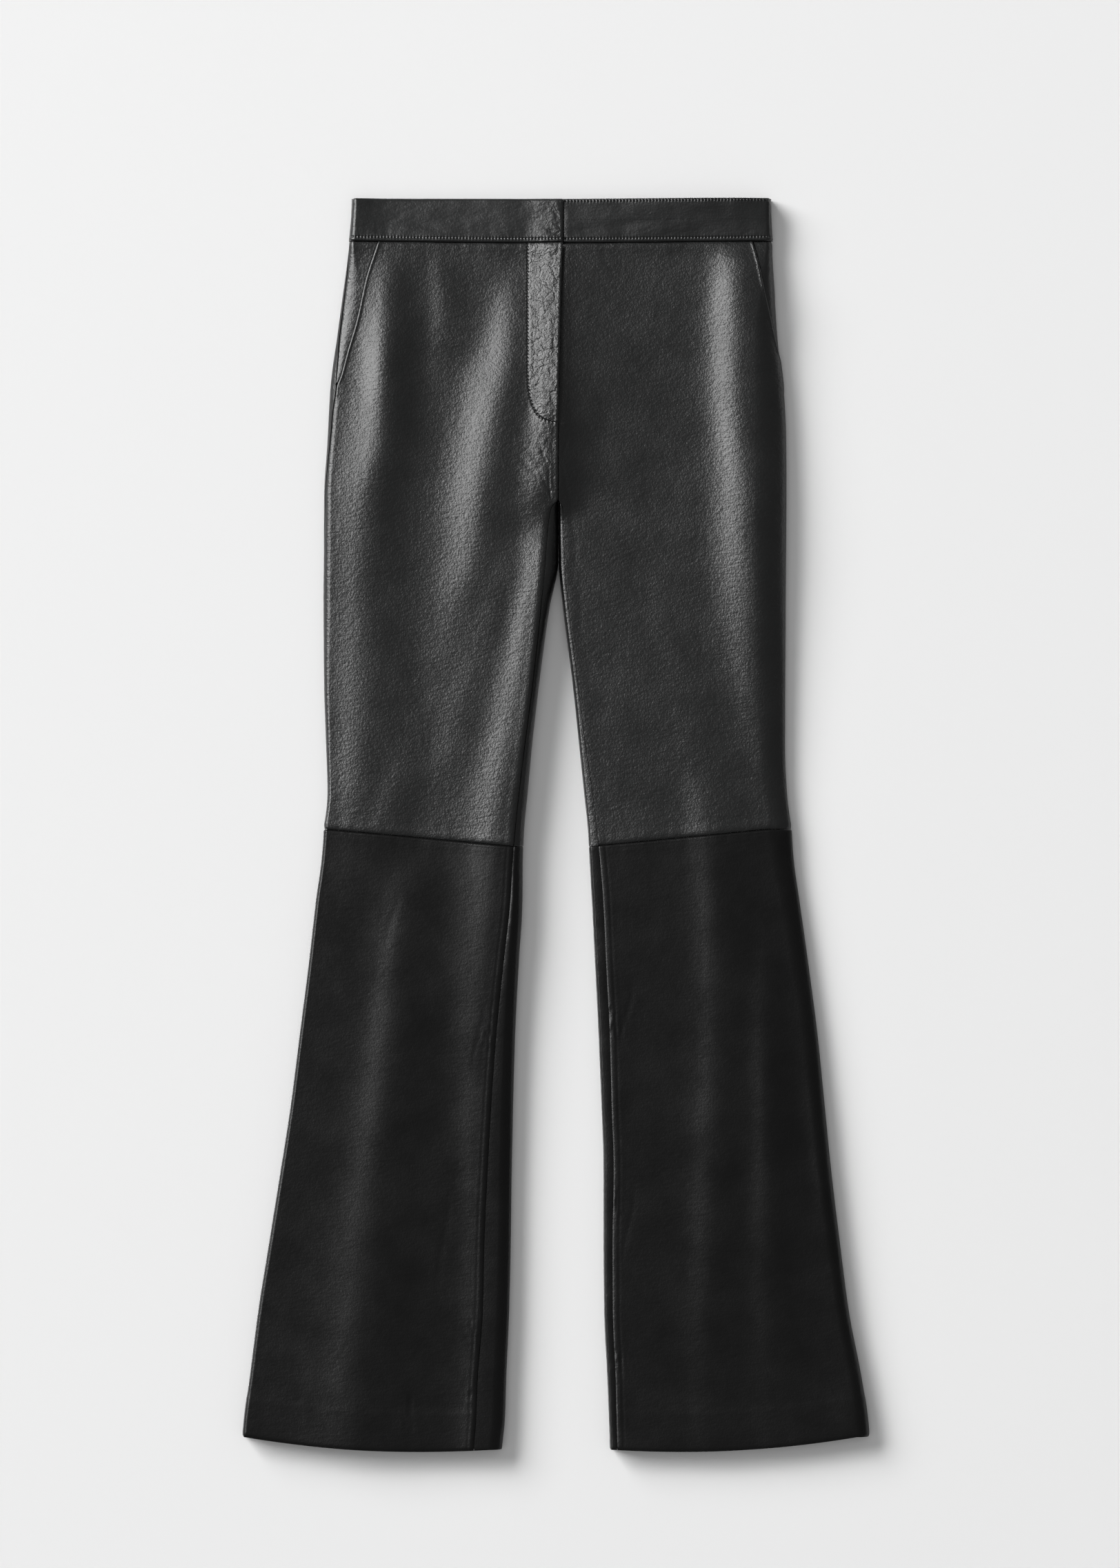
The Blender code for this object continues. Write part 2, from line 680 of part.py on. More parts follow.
def waistband_front(side, material, collection):
    levels = np.array(BAND_LEVELS)
    turns = spaced(side, np.full_like(levels, 0.02), np.full_like(levels, 2.0), levels, 26)
    points = patch(side, turns, levels, -BAND_PROUD, BAND_WALL, BAND_DROP)
    wall(f"waistband_front_{side}", [points], material, collection)


def waistband_back(material, collection):
    """One piece under both halves, from side to side."""
    levels = np.array(BAND_LEVELS)
    whole = np.ones_like(levels)
    halves = []
    for side in SIDES:
        turns = spread([3 * whole, 4 * whole, 5 * whole, 5.98 * whole], [1, 4, 4])
        outer, inner = patch(side, turns, levels, -BAND_PROUD, BAND_WALL)
        if side == "right":
            outer, inner = outer[:, ::-1], inner[:, ::-1]
        halves.append((outer, inner))
    joined = tuple(np.concatenate([halves[0][k][:, :-1], halves[1][k]], axis=1) for k in (0, 1))
    wall("waistband_back", [joined], material, collection)


def fly_zip(material, collection):
    """The closed zip, a flat strip between the lap and the underlap."""
    levels = np.linspace(BAND_SEAM + 2, FLY_END - FLY_TAPER, 6)
    right_of = np.linspace(-ZIP_WIDTH - 3, -3, 6)
    below = np.broadcast_to(levels[:, None], (len(levels), len(right_of)))
    x = lap_edge(below) + right_of[None, :]
    under_lap = LEATHER + SEAM_GAP
    sheets = [
        np.stack([x, LENGTH / 2 - below, top_height("right", x, below) - under_lap - depth], axis=-1)
        for depth in (0.0, ZIP_WALL)
    ]
    wall("fly_zip", [tuple(sheets)], material, collection)


def waist_hook(material, collection):
    """The flat hook that closes the waistband, along the underside of the lap."""
    wide, long, thick = HOOK_PLATE
    below = np.broadcast_to(np.array([HOOK_BELOW, HOOK_BELOW + long])[:, None], (2, 2))
    x = lap_edge(below) + np.array([-HOOK_EDGE - wide, -HOOK_EDGE])[None, :]
    under_lap = BAND_WALL - BAND_PROUD + SEAM_GAP
    sheets = [
        np.stack([x, LENGTH / 2 - below, top_height("right", x, below) - under_lap - depth], axis=-1)
        for depth in (0.0, thick)
    ]
    wall("waist_hook", [tuple(sheets)], material, collection)


def main():
    for old in list(bpy.data.objects):
        bpy.data.objects.remove(old)
    collection = bpy.data.collections.new("leather_trousers")
    bpy.context.scene.collection.children.link(collection)
    thigh_leather = leather("smooth black leather", (0.020, 0.021, 0.021), 0.42)
    band_leather = leather("waistband leather", (0.018, 0.018, 0.019), 0.5)
    zip_tape = leather("black zip tape", (0.012, 0.012, 0.012), 0.8)
    steel = leather("hook steel", (0.35, 0.35, 0.36), 0.35)
    steel.node_tree.nodes["Principled BSDF"].inputs["Metallic"].default_value = 1.0
    for side in SIDES:
        front_thigh(side, thigh_leather, collection)
        front_calf(side, thigh_leather, collection)
        back_thigh(side, thigh_leather, collection)
        back_calf(side, thigh_leather, collection)
        pocket_facing(side, thigh_leather, collection)
        waistband_front(side, band_leather, collection)
    waistband_back(band_leather, collection)
    fly_zip(zip_tape, collection)
    waist_hook(steel, collection)


main()
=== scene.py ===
import bmesh
import bpy
import numpy as np
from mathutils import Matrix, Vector
from mathutils.bvhtree import BVHTree


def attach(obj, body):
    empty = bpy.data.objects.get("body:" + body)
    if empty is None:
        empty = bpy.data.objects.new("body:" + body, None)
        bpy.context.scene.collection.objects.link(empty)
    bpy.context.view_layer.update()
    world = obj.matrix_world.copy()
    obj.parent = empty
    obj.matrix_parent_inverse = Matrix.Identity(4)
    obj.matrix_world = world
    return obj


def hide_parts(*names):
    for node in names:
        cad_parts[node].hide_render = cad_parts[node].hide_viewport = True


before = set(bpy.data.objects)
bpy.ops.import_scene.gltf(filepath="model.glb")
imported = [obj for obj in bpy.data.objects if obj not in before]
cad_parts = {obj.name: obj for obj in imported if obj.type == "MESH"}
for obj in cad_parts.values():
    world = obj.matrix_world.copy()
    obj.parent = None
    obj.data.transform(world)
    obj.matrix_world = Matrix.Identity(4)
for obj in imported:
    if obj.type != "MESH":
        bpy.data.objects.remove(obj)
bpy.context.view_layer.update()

# Flared leather trousers laid flat, front up. Shapes are worked out in millimetres and meshed in metres.
# "below" is the distance down from the waist's top edge. A place on a leg is (turn, level): turn goes
# round the flattened tube (0-1 outer roll, 1-2 top, 2-3 inner roll, 3-4 inner roll's lower half,
# 4-5 underside, 5-6 outer roll's lower half) and level is the cross line's "below" at the inner edge.
mm = 0.001
garment = {
    # mm; what lies down the leg is counted from the waist's top edge
    "length": 1073.0,
    "seamGap": 0.3,
    "leather": 1.5,
    "bandWall": 2.4,
    "bandProud": 0.6,
    "hemWall": 2.8,
    "hemTurn": 36.0,
    "hemEase": 3.0,
    "edgeRise": 0.36,     # how high the outer fold's edge lies, as a share of the leg's height
    "seatTuck": 3.0,
    "crotch": 258.0,
    "seatFold": 310.0,
    "bandSeam": 37.5,
    "kneeSeam": 554.0,
    "hem": 1071.0,
    "flyEnd": 192.0,
    "flyTaper": 34.0,
    "underlap": 28.0,
    "lapStart": 5.0,      # right of the lap's edge, where the half under it starts to dip
    "lapReach": 24.0,
    "lapEase": 24.0,      # over how much length the dip ends below the fly
    "lapDrop": 3.3,
    "bandDrop": 4.0,
    "mouthEnd": {"right": 168.0, "left": 184.0},
    "mouthFoot": {"right": 12.0, "left": 38.0},  # where a pocket's mouth runs into the side seam
    "facingEnd": {"right": 158.0, "left": 166.0},
    "facingSunk": 1.1,
}
halfGap = garment["seamGap"] / 2
outward = {"right": -1.0, "left": 1.0}

# x of each leg's outer fold, inseam and inner fold; above the crotch the inner column is the centre seam
plan = {
    "right": [
        # below, outer, inseam, inner
        (0, -174.5, 2.2, 2.2), (36, -177.0, 2.2, 2.2), (84, -183.0, 2.2, 2.2), (120, -188.0, 2.2, 2.2),
        (160, -193.3, 2.2, 2.2), (208, -196.0, 2.2, 2.2), (258, -198.8, 1.9, 2.2), (264, -198.8, -3.6, 2.2),
        (285, -198.9, -7.0, 2.2), (310, -199.0, -8.8, 2.0), (350, -199.3, -12.4, -5.4),
        (410, -198.9, -18.8, -13.7), (470, -197.0, -26.6, -20.6), (509, -195.9, -31.3, -24.2),
        (540, -198.8, -34.6, -27.2), (568, -201.2, -36.9, -28.3), (600, -205.6, -38.9, -28.6),
        (656, -212.0, -45.0, -31.9), (715, -219.5, -51.0, -34.8), (774, -227.0, -55.3, -36.6),
        (833, -236.0, -58.6, -37.8), (892, -245.4, -61.3, -38.6), (951, -254.9, -62.6, -40.1),
        (1010, -262.6, -67.0, -42.5), (1046, -267.3, -68.5, -43.7), (1073, -269.3, -70.2, -46.0),
    ],
    "left": [
        (0, 184.0, 2.2, 2.2), (36, 185.3, 2.2, 2.2), (84, 188.2, 2.2, 2.2), (120, 190.7, 2.2, 2.2),
        (160, 195.3, 2.2, 2.2), (208, 197.5, 2.2, 2.2), (258, 197.6, 2.5, 2.2), (264, 197.6, 5.7, 2.2),
        (285, 197.5, 6.3, 2.2), (310, 197.4, 7.4, 2.4), (350, 197.2, 10.8, 6.0), (410, 196.8, 18.4, 13.7),
        (470, 196.6, 25.9, 20.1), (509, 198.2, 31.5, 24.2), (540, 201.8, 35.2, 27.4),
        (568, 204.1, 37.8, 29.0), (600, 208.6, 40.4, 30.8), (656, 216.5, 43.0, 33.6),
        (715, 224.2, 46.0, 36.6), (774, 230.1, 47.6, 38.9), (833, 236.0, 49.4, 40.8),
        (892, 243.1, 48.4, 40.8), (951, 250.8, 48.6, 41.3), (1010, 262.0, 51.0, 44.0),
        (1046, 267.4, 51.9, 45.4), (1073, 269.3, 52.5, 46.2),
    ],
}
sections = [
    # below, heightRight, heightLeft, outerRollRight, outerRollLeft, innerRollRight, innerRollLeft, innerMid
    (0, 12.4, 12.7, 3.5, 4.0, 1.0, 1.0, 6.0), (36, 12.4, 12.7, 4.5, 6.0, 1.0, 1.0, 6.0),
    (80, 12.3, 12.6, 15.0, 14.0, 1.0, 1.0, 6.0), (120, 12.4, 12.8, 14.0, 22.0, 1.0, 1.0, 6.0),
    (200, 13.0, 13.6, 7.0, 28.0, 1.0, 1.0, 6.0), (258, 13.6, 14.4, 6.0, 29.0, 1.0, 1.0, 8.0),
    (264, 13.6, 14.4, 6.0, 29.0, 5.6, 2.0, 7.0), (285, 13.6, 14.4, 6.0, 29.0, 9.0, 2.4, 5.4),
    (310, 13.4, 14.2, 6.0, 29.0, 10.6, 2.8, 4.6), (350, 13.0, 13.8, 6.0, 28.0, 10.0, 3.0, 5.6),
    (410, 12.6, 13.2, 4.5, 26.0, 9.0, 3.0, 6.2), (500, 12.2, 12.6, 3.0, 22.0, 9.0, 2.6, 6.0),
    (554, 12.0, 12.4, 2.4, 19.0, 9.5, 2.4, 5.9), (700, 12.2, 12.6, 2.2, 14.0, 11.0, 2.4, 6.0),
    (850, 12.8, 13.2, 2.2, 12.0, 12.0, 2.4, 6.2), (960, 13.4, 13.6, 2.2, 11.0, 12.0, 2.4, 6.2),
    (1073, 13.8, 13.8, 2.2, 11.0, 12.0, 2.4, 6.0),
]
crossLines = [
    # level, slant (how much higher the outer edge is), bow (sag in the middle)
    (0, 0.9, 0.0), (37.5, 1.8, 0.2), (240, 0.0, 0.0), (430, 0.0, 0.0), (554, 14.5, 0.0), (820, 12.0, 2.0),
    (1071, 10.8, 6.0),
]
# Folds: the leather rises towards +X by "rise" about x, over "ramp" to either side, then sinks over "tail"
folds = {
    "right": {
        "side": [
            # below, x, rise, ramp, tail
            (30, -152, 0.0, 13, 23), (60, -152, 2.2, 15, 24), (90, -154, 4.8, 17, 27),
            (125, -156, 7.7, 18, 29), (160, -157, 8.7, 21, 29), (208, -161, 8.7, 25, 32),
            (255, -170, 7.5, 31, 35), (320, -176, 5.1, 27, 39), (410, -178, 3.8, 20, 50),
            (500, -180, 3.0, 15, 55), (545, -180, 1.1, 13, 56), (620, -183, 0.0, 10, 55),
        ],
        "hip": [
            (38, -105, 0.0, 7, 20), (60, -104, 0.9, 8, 22), (100, -103, 1.4, 9, 24),
            (140, -105, 0.6, 9, 24), (180, -109, 0.0, 10, 22),
        ],
        "thigh": [
            (52, -44, 0.0, 14, 50), (90, -47, 4.1, 18, 46), (125, -51, 7.2, 21, 45),
            (160, -59, 10.0, 28, 46), (208, -69, 9.7, 28, 50), (255, -77, 9.2, 27, 50),
            (302, -81, 7.5, 27, 52), (349, -92, 5.2, 28, 55), (396, -96, 3.5, 27, 55),
            (444, -96, 2.6, 26, 55), (545, -100, 0.9, 24, 55), (610, -106, 0.0, 22, 55),
        ],
        "fly": [
            (0, -12, 3.4, 15, 60), (40, -12, 3.6, 15, 60), (90, -12, 5.3, 15, 60), (140, -12, 7.6, 15, 60),
            (165, -13, 8.8, 16, 60), (200, -17, 9.6, 19, 60), (235, -21, 9.4, 21, 56),
            (258, -23, 7.0, 21, 52), (290, -27, 0.0, 20, 52),
        ],
        "inseam": [
            (262, -21, 0.0, 13, 44), (302, -22, 7.3, 16, 51), (349, -29, 8.5, 18, 57),
            (396, -37, 8.5, 20, 60), (444, -46, 8.5, 23, 60), (491, -56, 8.5, 24, 58),
            (526, -61, 8.3, 26, 57), (560, -63, 8.0, 28, 58), (620, -68, 7.2, 30, 60),
            (731, -76, 4.3, 22, 60), (830, -75, 2.4, 15, 53), (900, -76, 1.9, 13, 45),
            (1073, -79, 1.4, 12, 35),
        ],
        "crotchFan": [
            (270, -39, 0.0, 12, 50), (330, -54, 2.2, 13, 50), (400, -74, 1.3, 13, 46),
            (470, -96, 0.7, 13, 40), (545, -115, 0.4, 12, 33), (600, -124, 0.0, 12, 28),
        ],
        "kneeFan": [
            (400, -104, 0.0, 12, 34), (450, -124, 0.5, 12, 35), (520, -150, 1.6, 12, 39),
            (570, -163, 0.0, 12, 38),
        ],
        "calf": [
            (556, -132, 0.0, 14, 47), (597, -139, 1.7, 15, 50), (656, -147, 3.1, 17, 52),
            (715, -153, 3.8, 20, 51), (774, -159, 3.9, 21, 50), (833, -167, 3.5, 23, 49),
            (892, -176, 4.1, 27, 50), (951, -181, 4.2, 30, 52), (1010, -187, 3.9, 32, 54),
            (1073, -194, 3.0, 32, 54),
        ],
    },
    "left": {
        "front": [
            (44, 14, 0.0, 14, 62), (60, 15, 0.3, 15, 62), (110, 18, 1.1, 15, 61), (160, 19, 1.6, 16, 60),
            (230, 14, 0.8, 15, 60), (262, 12, 0.0, 15, 60),
        ],
        "side": [
            (34, 142, 0.0, 13, 66), (54, 142, 4.8, 15, 68), (90, 142, 7.8, 18, 70), (160, 143, 7.8, 17, 70),
            (208, 146, 7.8, 19, 70), (255, 149, 7.8, 21, 70), (302, 150, 7.8, 22, 70),
            (349, 153, 6.3, 22, 63), (396, 156, 4.6, 20, 54), (444, 164, 2.8, 18, 45),
            (491, 173, 1.3, 16, 39), (545, 180, 0.5, 14, 34), (620, 186, 0.0, 13, 29),
        ],
        "thigh": [
            (330, 87, 0.0, 14, 40), (396, 94, 0.7, 14, 40), (444, 102, 1.0, 14, 41),
            (491, 112, 1.3, 14, 42), (526, 119, 1.8, 14, 44), (562, 123, 2.6, 15, 46),
            (600, 126, 2.9, 15, 47), (700, 129, 2.9, 16, 50), (850, 123, 2.8, 16, 47),
            (950, 121, 2.0, 16, 43), (1073, 118, 0.6, 15, 39),
        ],
        "calf": [
            (600, 175, 0.0, 11, 17), (700, 173, 2.1, 13, 22), (774, 173, 3.1, 14, 25),
            (900, 173, 2.3, 14, 34), (1010, 177, 0.9, 12, 36), (1073, 178, 0.5, 10, 35),
        ],
        "edge": [
            (640, 196, 0.0, 8, 21), (730, 209, 0.3, 7, 22), (780, 216, 0.7, 7, 22), (840, 223, 0.8, 7, 21),
            (900, 230, 0.0, 8, 20),
        ],
        "seam": [
            (36, -14, 0.0, 6, 30), (60, -14, 2.2, 6, 30), (120, -14, 4.4, 6, 30), (170, -13, 6.2, 6, 28),
            (198, -11, 8.8, 7, 26), (215, -10, 9.6, 7, 25), (235, -10, 9.4, 7, 25), (258, -12, 7.2, 7, 24),
            (280, -19, 0.0, 6, 22),
        ],
    },
}
# The fly lap's edge, which runs on down as the centre front seam
lapEdge = [
    # below, x
    (0, 6.5), (38, 6.2), (60, 5.3), (120, 3.5), (192, 2.4), (258, 2.2),
]
pocketMouth = {
    "right": [
        # below, x
        (0, -141.5), (37, -153.1), (68, -163.3), (103, -171.1), (134, -180.2), (150, -184.4), (166, -189.4),
    ],
    "left": [
        (0, 159.8), (38, 169.8), (54, 174.0), (76, 178.6), (101, 184.3), (119, 188.4), (140, 193.2),
        (166, 197.0),
    ],
}
# Where the side seam lies round the outer fold; under zero is the underside
sideSeam = {
    "right": [
        # level, turn
        (0, 0.16), (37, 0.18), (67, 0.26), (84, 0.28), (101, 0.31), (118, 0.34), (140, 0.50), (154, 0.58),
        (166, 0.66), (176, 0.63), (186, 0.60), (196, 0.60), (207, 0.55), (222, 0.48), (254, 0.40),
        (300, 0.10), (340, -0.10), (1073, -0.10),
    ],
    "left": [
        (0, -0.50), (1073, -0.50),
    ],
}


def curveThrough(rows, column):
    # a smooth curve with no overshoot through a table's column, against its first column
    at = np.array([row[0] for row in rows], float)
    value = np.array([row[column] for row in rows], float)
    step = np.diff(at)
    slope = np.diff(value) / step
    bend = np.zeros_like(value)
    for k in range(1, len(at) - 1):
        if slope[k - 1] * slope[k] > 0:
            before, after = 2 * step[k] + step[k - 1], step[k] + 2 * step[k - 1]
            bend[k] = (before + after) / (before / slope[k - 1] + after / slope[k])

    def read(where):
        where = np.clip(np.asarray(where, float), at[0], at[-1])
        k = np.clip(np.searchsorted(at, where, side="right") - 1, 0, len(at) - 2)
        t = (where - at[k]) / step[k]
        return (
            value[k] * (1 + 2 * t) * (1 - t) ** 2
            + bend[k] * step[k] * t * (1 - t) ** 2
            + value[k + 1] * t * t * (3 - 2 * t)
            - bend[k + 1] * step[k] * t * t * (1 - t)
        )

    return read


def smooth(t):
    t = np.clip(t, 0, 1)
    return t * t * (3 - 2 * t)


sides = ("right", "left")
heightAt = {side: curveThrough(sections, 1 + k) for k, side in enumerate(sides)}
outerRollAt = {side: curveThrough(sections, 3 + k) for k, side in enumerate(sides)}
innerRollAt = {side: curveThrough(sections, 5 + k) for k, side in enumerate(sides)}
innerMidAt = curveThrough(sections, 7)
slantAt = curveThrough(crossLines, 1)
bowAt = curveThrough(crossLines, 2)
lapEdgeAt = curveThrough(lapEdge, 1)
outerFoldAt = {side: curveThrough(plan[side], 1) for side in sides}
inseamAt = {side: curveThrough(plan[side], 2) for side in sides}
innerFoldAt = {side: curveThrough(plan[side], 3) for side in sides}
pocketMouthAt = {side: curveThrough(pocketMouth[side], 1) for side in sides}
sideSeamAt = {side: curveThrough(sideSeam[side], 1) for side in sides}
foldCurves = {
    side: [[curveThrough(rows, column) for column in (1, 2, 3, 4)] for rows in folds[side].values()]
    for side in sides
}


def topHeight(side, x, below):
    total = heightAt[side](below)
    for path, rise, ramp, tail in foldCurves[side]:
        past = x - path(below)
        step = 0.5 * (1 + np.tanh(1.2 * past / ramp(below)))
        total = total + rise(below) * step * np.exp(-((np.maximum(past, 0) / tail(below)) ** 2))
    return total


def underlapAt(below):
    # how far the left half runs on under the fly's lap, ending in a rounded foot
    left = np.clip((garment["flyEnd"] - below) / garment["flyTaper"], 0, 1)
    return garment["underlap"] * np.sqrt(1 - (1 - left) ** 2)


def frontEnd(side, below):
    if side == "right":
        return lapEdgeAt(below) - halfGap
    return lapEdgeAt(below) + halfGap - underlapAt(below)


def lapDropAt(side, x, below, depth):
    if side == "right":
        return np.zeros_like(x)
    across = smooth((lapEdgeAt(below) + garment["lapStart"] - x) / garment["lapReach"])
    return depth * across * smooth((garment["flyEnd"] - below) / garment["lapEase"] + 1)


def ringPoint(side, turn, level, drop=0.0):
    # a point of the leather's outer face
    turn, level = np.broadcast_arrays(np.asarray(turn, float) % 6, np.asarray(level, float))
    onTop = turn < 3
    across = np.where(onTop, np.clip(turn - 1, 0, 1), np.clip(5 - turn, 0, 1))
    below = level - slantAt(level) * (1 - across) + 4 * bowAt(level) * across * (1 - across)
    out = outward[side]
    legsPart = below >= garment["seatFold"] - 1e-6
    aboveCrotch = below < garment["crotch"]
    outer = out * outerFoldAt[side](below)
    inner = out * innerFoldAt[side](below) + np.where(legsPart, 0, halfGap)
    inner = np.where(onTop & aboveCrotch, out * frontEnd(side, below), inner)
    roll = outerRollAt[side](below)
    rollIn = np.where(aboveCrotch, 0.0, innerRollAt[side](below))
    rollUnder = np.where(legsPart, innerRollAt[side](below), garment["seatTuck"])
    mid = garment["edgeRise"] * heightAt[side](below)
    midIn = innerMidAt(below)
    quarter = np.pi / 2
    parts = [turn < 1, turn < 2, turn < 3, turn < 4, turn < 5]
    underRoll = np.where(legsPart, 1 - np.cos((turn - 3) * quarter), turn - 3)
    x = np.select(
        parts,
        [
            outer - roll * (1 - np.cos(turn * quarter)),
            (outer - roll) + (inner + rollIn - outer + roll) * (turn - 1),
            inner + rollIn * (1 - np.cos((3 - turn) * quarter)),
            inner + rollUnder * underRoll,
            (inner + rollUnder) + (outer - roll - inner - rollUnder) * (turn - 4),
        ],
        outer - roll * (1 - np.cos((6 - turn) * quarter)),
    )
    top = topHeight(side, out * x, below) - lapDropAt(side, out * x, below, drop)
    z = np.select(
        parts,
        [
            mid + (top - mid) * np.sin(turn * quarter),
            top,
            np.where(aboveCrotch, top, midIn + (top - midIn) * np.sin((3 - turn) * quarter)),
            np.where(legsPart, midIn * (1 - np.sin((turn - 3) * quarter)), 0),
            0 * turn,
        ],
        mid * (1 - np.sin((6 - turn) * quarter)),
    )
    return np.stack([out * x, garment["length"] / 2 - below, z], axis=-1)


halvings = 40   # each halves the doubt about where two lines meet
farthest = 0.2  # of a turn, more than any seam's gap takes


def turnAt(side, planCurve, level):
    # the turn at which a cross line meets a line drawn in plan
    low, high = np.zeros(np.shape(level)), np.full(np.shape(level), 3.0)
    for _ in range(halvings):
        middle = (low + high) / 2
        point = ringPoint(side, middle, level)
        outside = outward[side] * (point[..., 0] - planCurve(garment["length"] / 2 - point[..., 1])) > 0
        low, high = np.where(outside, middle, low), np.where(outside, high, middle)
    return (low + high) / 2


def mouthTurn(side, level):
    seam = sideSeamAt[side](level)
    mouth = np.maximum(turnAt(side, pocketMouthAt[side], level), seam)
    foot = garment["mouthFoot"][side]
    return mouth + (seam - mouth) * smooth((level - garment["mouthEnd"][side] + foot) / foot)


def shifted(side, turn, level, distance):
    # the turn that lies a distance further round the tube
    start = ringPoint(side, turn, level)
    near, far = np.zeros_like(turn), np.full_like(turn, farthest)
    for _ in range(halvings):
        middle = (near + far) / 2
        there = ringPoint(side, turn + np.sign(distance) * middle, level)
        short = np.linalg.norm(there - start, axis=-1) < abs(distance)
        near, far = np.where(short, middle, near), np.where(short, far, middle)
    return turn + np.sign(distance) * near


spacingSteps = 600


def spaced(side, first, last, level, columns, evenShare):
    # turns along each cross line, closer together towards its two ends
    t = np.linspace(0, 1, columns + 1)
    wanted = evenShare * t + (1 - evenShare) * (1 - np.cos(np.pi * t)) / 2
    fine = first[:, None] + (last - first)[:, None] * np.linspace(0, 1, spacingSteps)[None, :]
    line = ringPoint(side, fine, level[:, None])
    length = np.cumsum(np.linalg.norm(np.diff(line, axis=1), axis=-1), axis=1)
    length = np.concatenate([np.zeros((len(level), 1)), length / length[:, -1:]], axis=1)
    return np.stack([np.interp(wanted, length[k], fine[k]) for k in range(len(level))])


def spread(stops, counts):
    columns = [stops[0]]
    for first, last, count in zip(stops[:-1], stops[1:], counts):
        columns += [first + (last - first) * k / count for k in range(1, count + 1)]
    return np.stack(columns, axis=1)


seamRows = (0, 0.35, 0.8, 1.4, 2.2, 3.2, 4.4)  # mm from a seam's gap


def levelRows(first, last, step, also=()):
    # rows close together at both seams, then a step apart
    near = np.array(seamRows)
    start, end = first + halfGap, last - halfGap
    middle = np.linspace(start + near[-1], end - near[-1], int((end - start) / step))
    rows = np.concatenate([start + near[:-1], middle, end - near[::-1][1:], np.array(also, float)])
    return np.unique(np.round(rows, 4))


# Relief is in millimetres, out of the leather's face
def gradientNoise(u, v, seed):
    # smooth noise from -1 to 1, one bump for each unit
    table = np.random.default_rng(seed).normal(size=(64, 64, 2))
    table /= np.linalg.norm(table, axis=-1, keepdims=True)
    iu, iv = np.floor(u).astype(int), np.floor(v).astype(int)
    fu, fv = u - iu, v - iv
    su, sv = fu**3 * (fu * (fu * 6 - 15) + 10), fv**3 * (fv * (fv * 6 - 15) + 10)

    def corner(du, dv):
        way = table[(iu + du) % 64, (iv + dv) % 64]
        return way[..., 0] * (fu - du) + way[..., 1] * (fv - dv)

    low = corner(0, 0) + su * (corner(1, 0) - corner(0, 0))
    high = corner(0, 1) + su * (corner(1, 1) - corner(0, 1))
    return 1.5 * (low + sv * (high - low))


def bell(distance, centre, halfWidth):
    return np.exp(-(((distance - centre) / halfWidth) ** 2))


def fading(distance, reach):
    return np.exp(-distance / reach)


hideWaves = [
    # size, share, how much longer the waves are down the leg
    (46, 1.0, 2.2), (24, 0.45, 1.8), (12, 0.16, 1.4), (6, 0.06, 1.2),
]


def waviness(x, below, seed, amount):
    # the slow unevenness of hide that has been cut, sewn and laid down
    total = 0
    for k, (size, share, stretch) in enumerate(hideWaves):
        total = total + share * gradientNoise(x / size, below / (size * stretch), seed + 1 + k)
    return amount * total


def drawnEdge(distance, sink, bead=0.0, over=0.9, beadAt=4.5, beadHalf=3.5):
    # an edge drawn down into its seam, with the leather puffed up in a bead behind it
    return -sink * fading(distance, over) + bead * bell(distance, beadAt, beadHalf)


gatherLook = {
    "finer": 2.1,        # finer gathers to one, and their share of its height
    "finerShare": 0.4,
    "straight": 40,      # mm that one runs before it wanders
    "finerStraight": 30,
    "pressed": 1.2,      # mm beside the seam where they are flat
}


def puckers(distance, along, spacing, reach, amount, seed):
    # short gathers that run away from a seam, with finer ones between them
    look, across = gatherLook, along / spacing
    wave = gradientNoise(across, distance / look["straight"], seed)
    finer = gradientNoise(across * look["finer"], distance / look["finerStraight"], seed + 1)
    rising = fading(distance, reach) * (1 - fading(distance, look["pressed"]))
    return amount * (wave + look["finerShare"] * finer) * rising


def crackle(u, v, seed):
    # narrow lines at one, between flat cells
    return 1 - 2.2 * np.abs(gradientNoise(u, v, seed))


def creaseLines(x, below, rows):
    # each row: below, x, heading in degrees from +X, length, depth, half width
    total = np.zeros_like(x)
    for centreBelow, centreX, heading, length, depth, width in rows:
        way = np.radians(heading)
        dx, dy = x - centreX, -(below - centreBelow)
        along = dx * np.cos(way) + dy * np.sin(way)
        off = -dx * np.sin(way) + dy * np.cos(way)
        off = off + 0.04 * length * np.sin(along / length * 4)
        taper = np.clip(1 - (along / (length / 2)) ** 2, 0, 1)
        total += -depth * taper * bell(off, 0, width * (0.5 + 0.5 * taper))
    return total


def cutRelief(side, grid, look):
    # a cut's unevenness, drawn edges, gathers and creases, from its table
    x, below = grid["x"], grid["below"]
    relief = waviness(x, below, look["seed"][side], look["waviness"])
    for edge, *shape in look["edges"]:
        relief += drawnEdge(grid[edge], *shape)
    for edge, along, *shape in look["gathers"]:
        relief += puckers(grid[edge], grid[along], *shape)
    return relief + creaseLines(x, below, look["creases"][side])


def alongLine(x, below, rows):
    # distance from a line of (below, x) corners, under zero on its inner side, and the way along it
    nearest, along = np.full(np.shape(x), 1e9), np.zeros(np.shape(x))
    run = 0.0
    for (b0, x0), (b1, x1) in zip(rows[:-1], rows[1:]):
        length = np.hypot(x1 - x0, b1 - b0)
        t = np.clip(((x - x0) * (x1 - x0) + (below - b0) * (b1 - b0)) / length**2, 0, 1)
        aside = ((b1 - b0) * (x0 - x) - (x1 - x0) * (b0 - below)) / length
        away = np.hypot(x - x0 - t * (x1 - x0), below - b0 - t * (b1 - b0)) * np.where(aside < 0, -1, 1)
        closer = np.abs(away) < np.abs(nearest)
        nearest, along = np.where(closer, away, nearest), np.where(closer, run + t * length, along)
        run += length
    return nearest, along


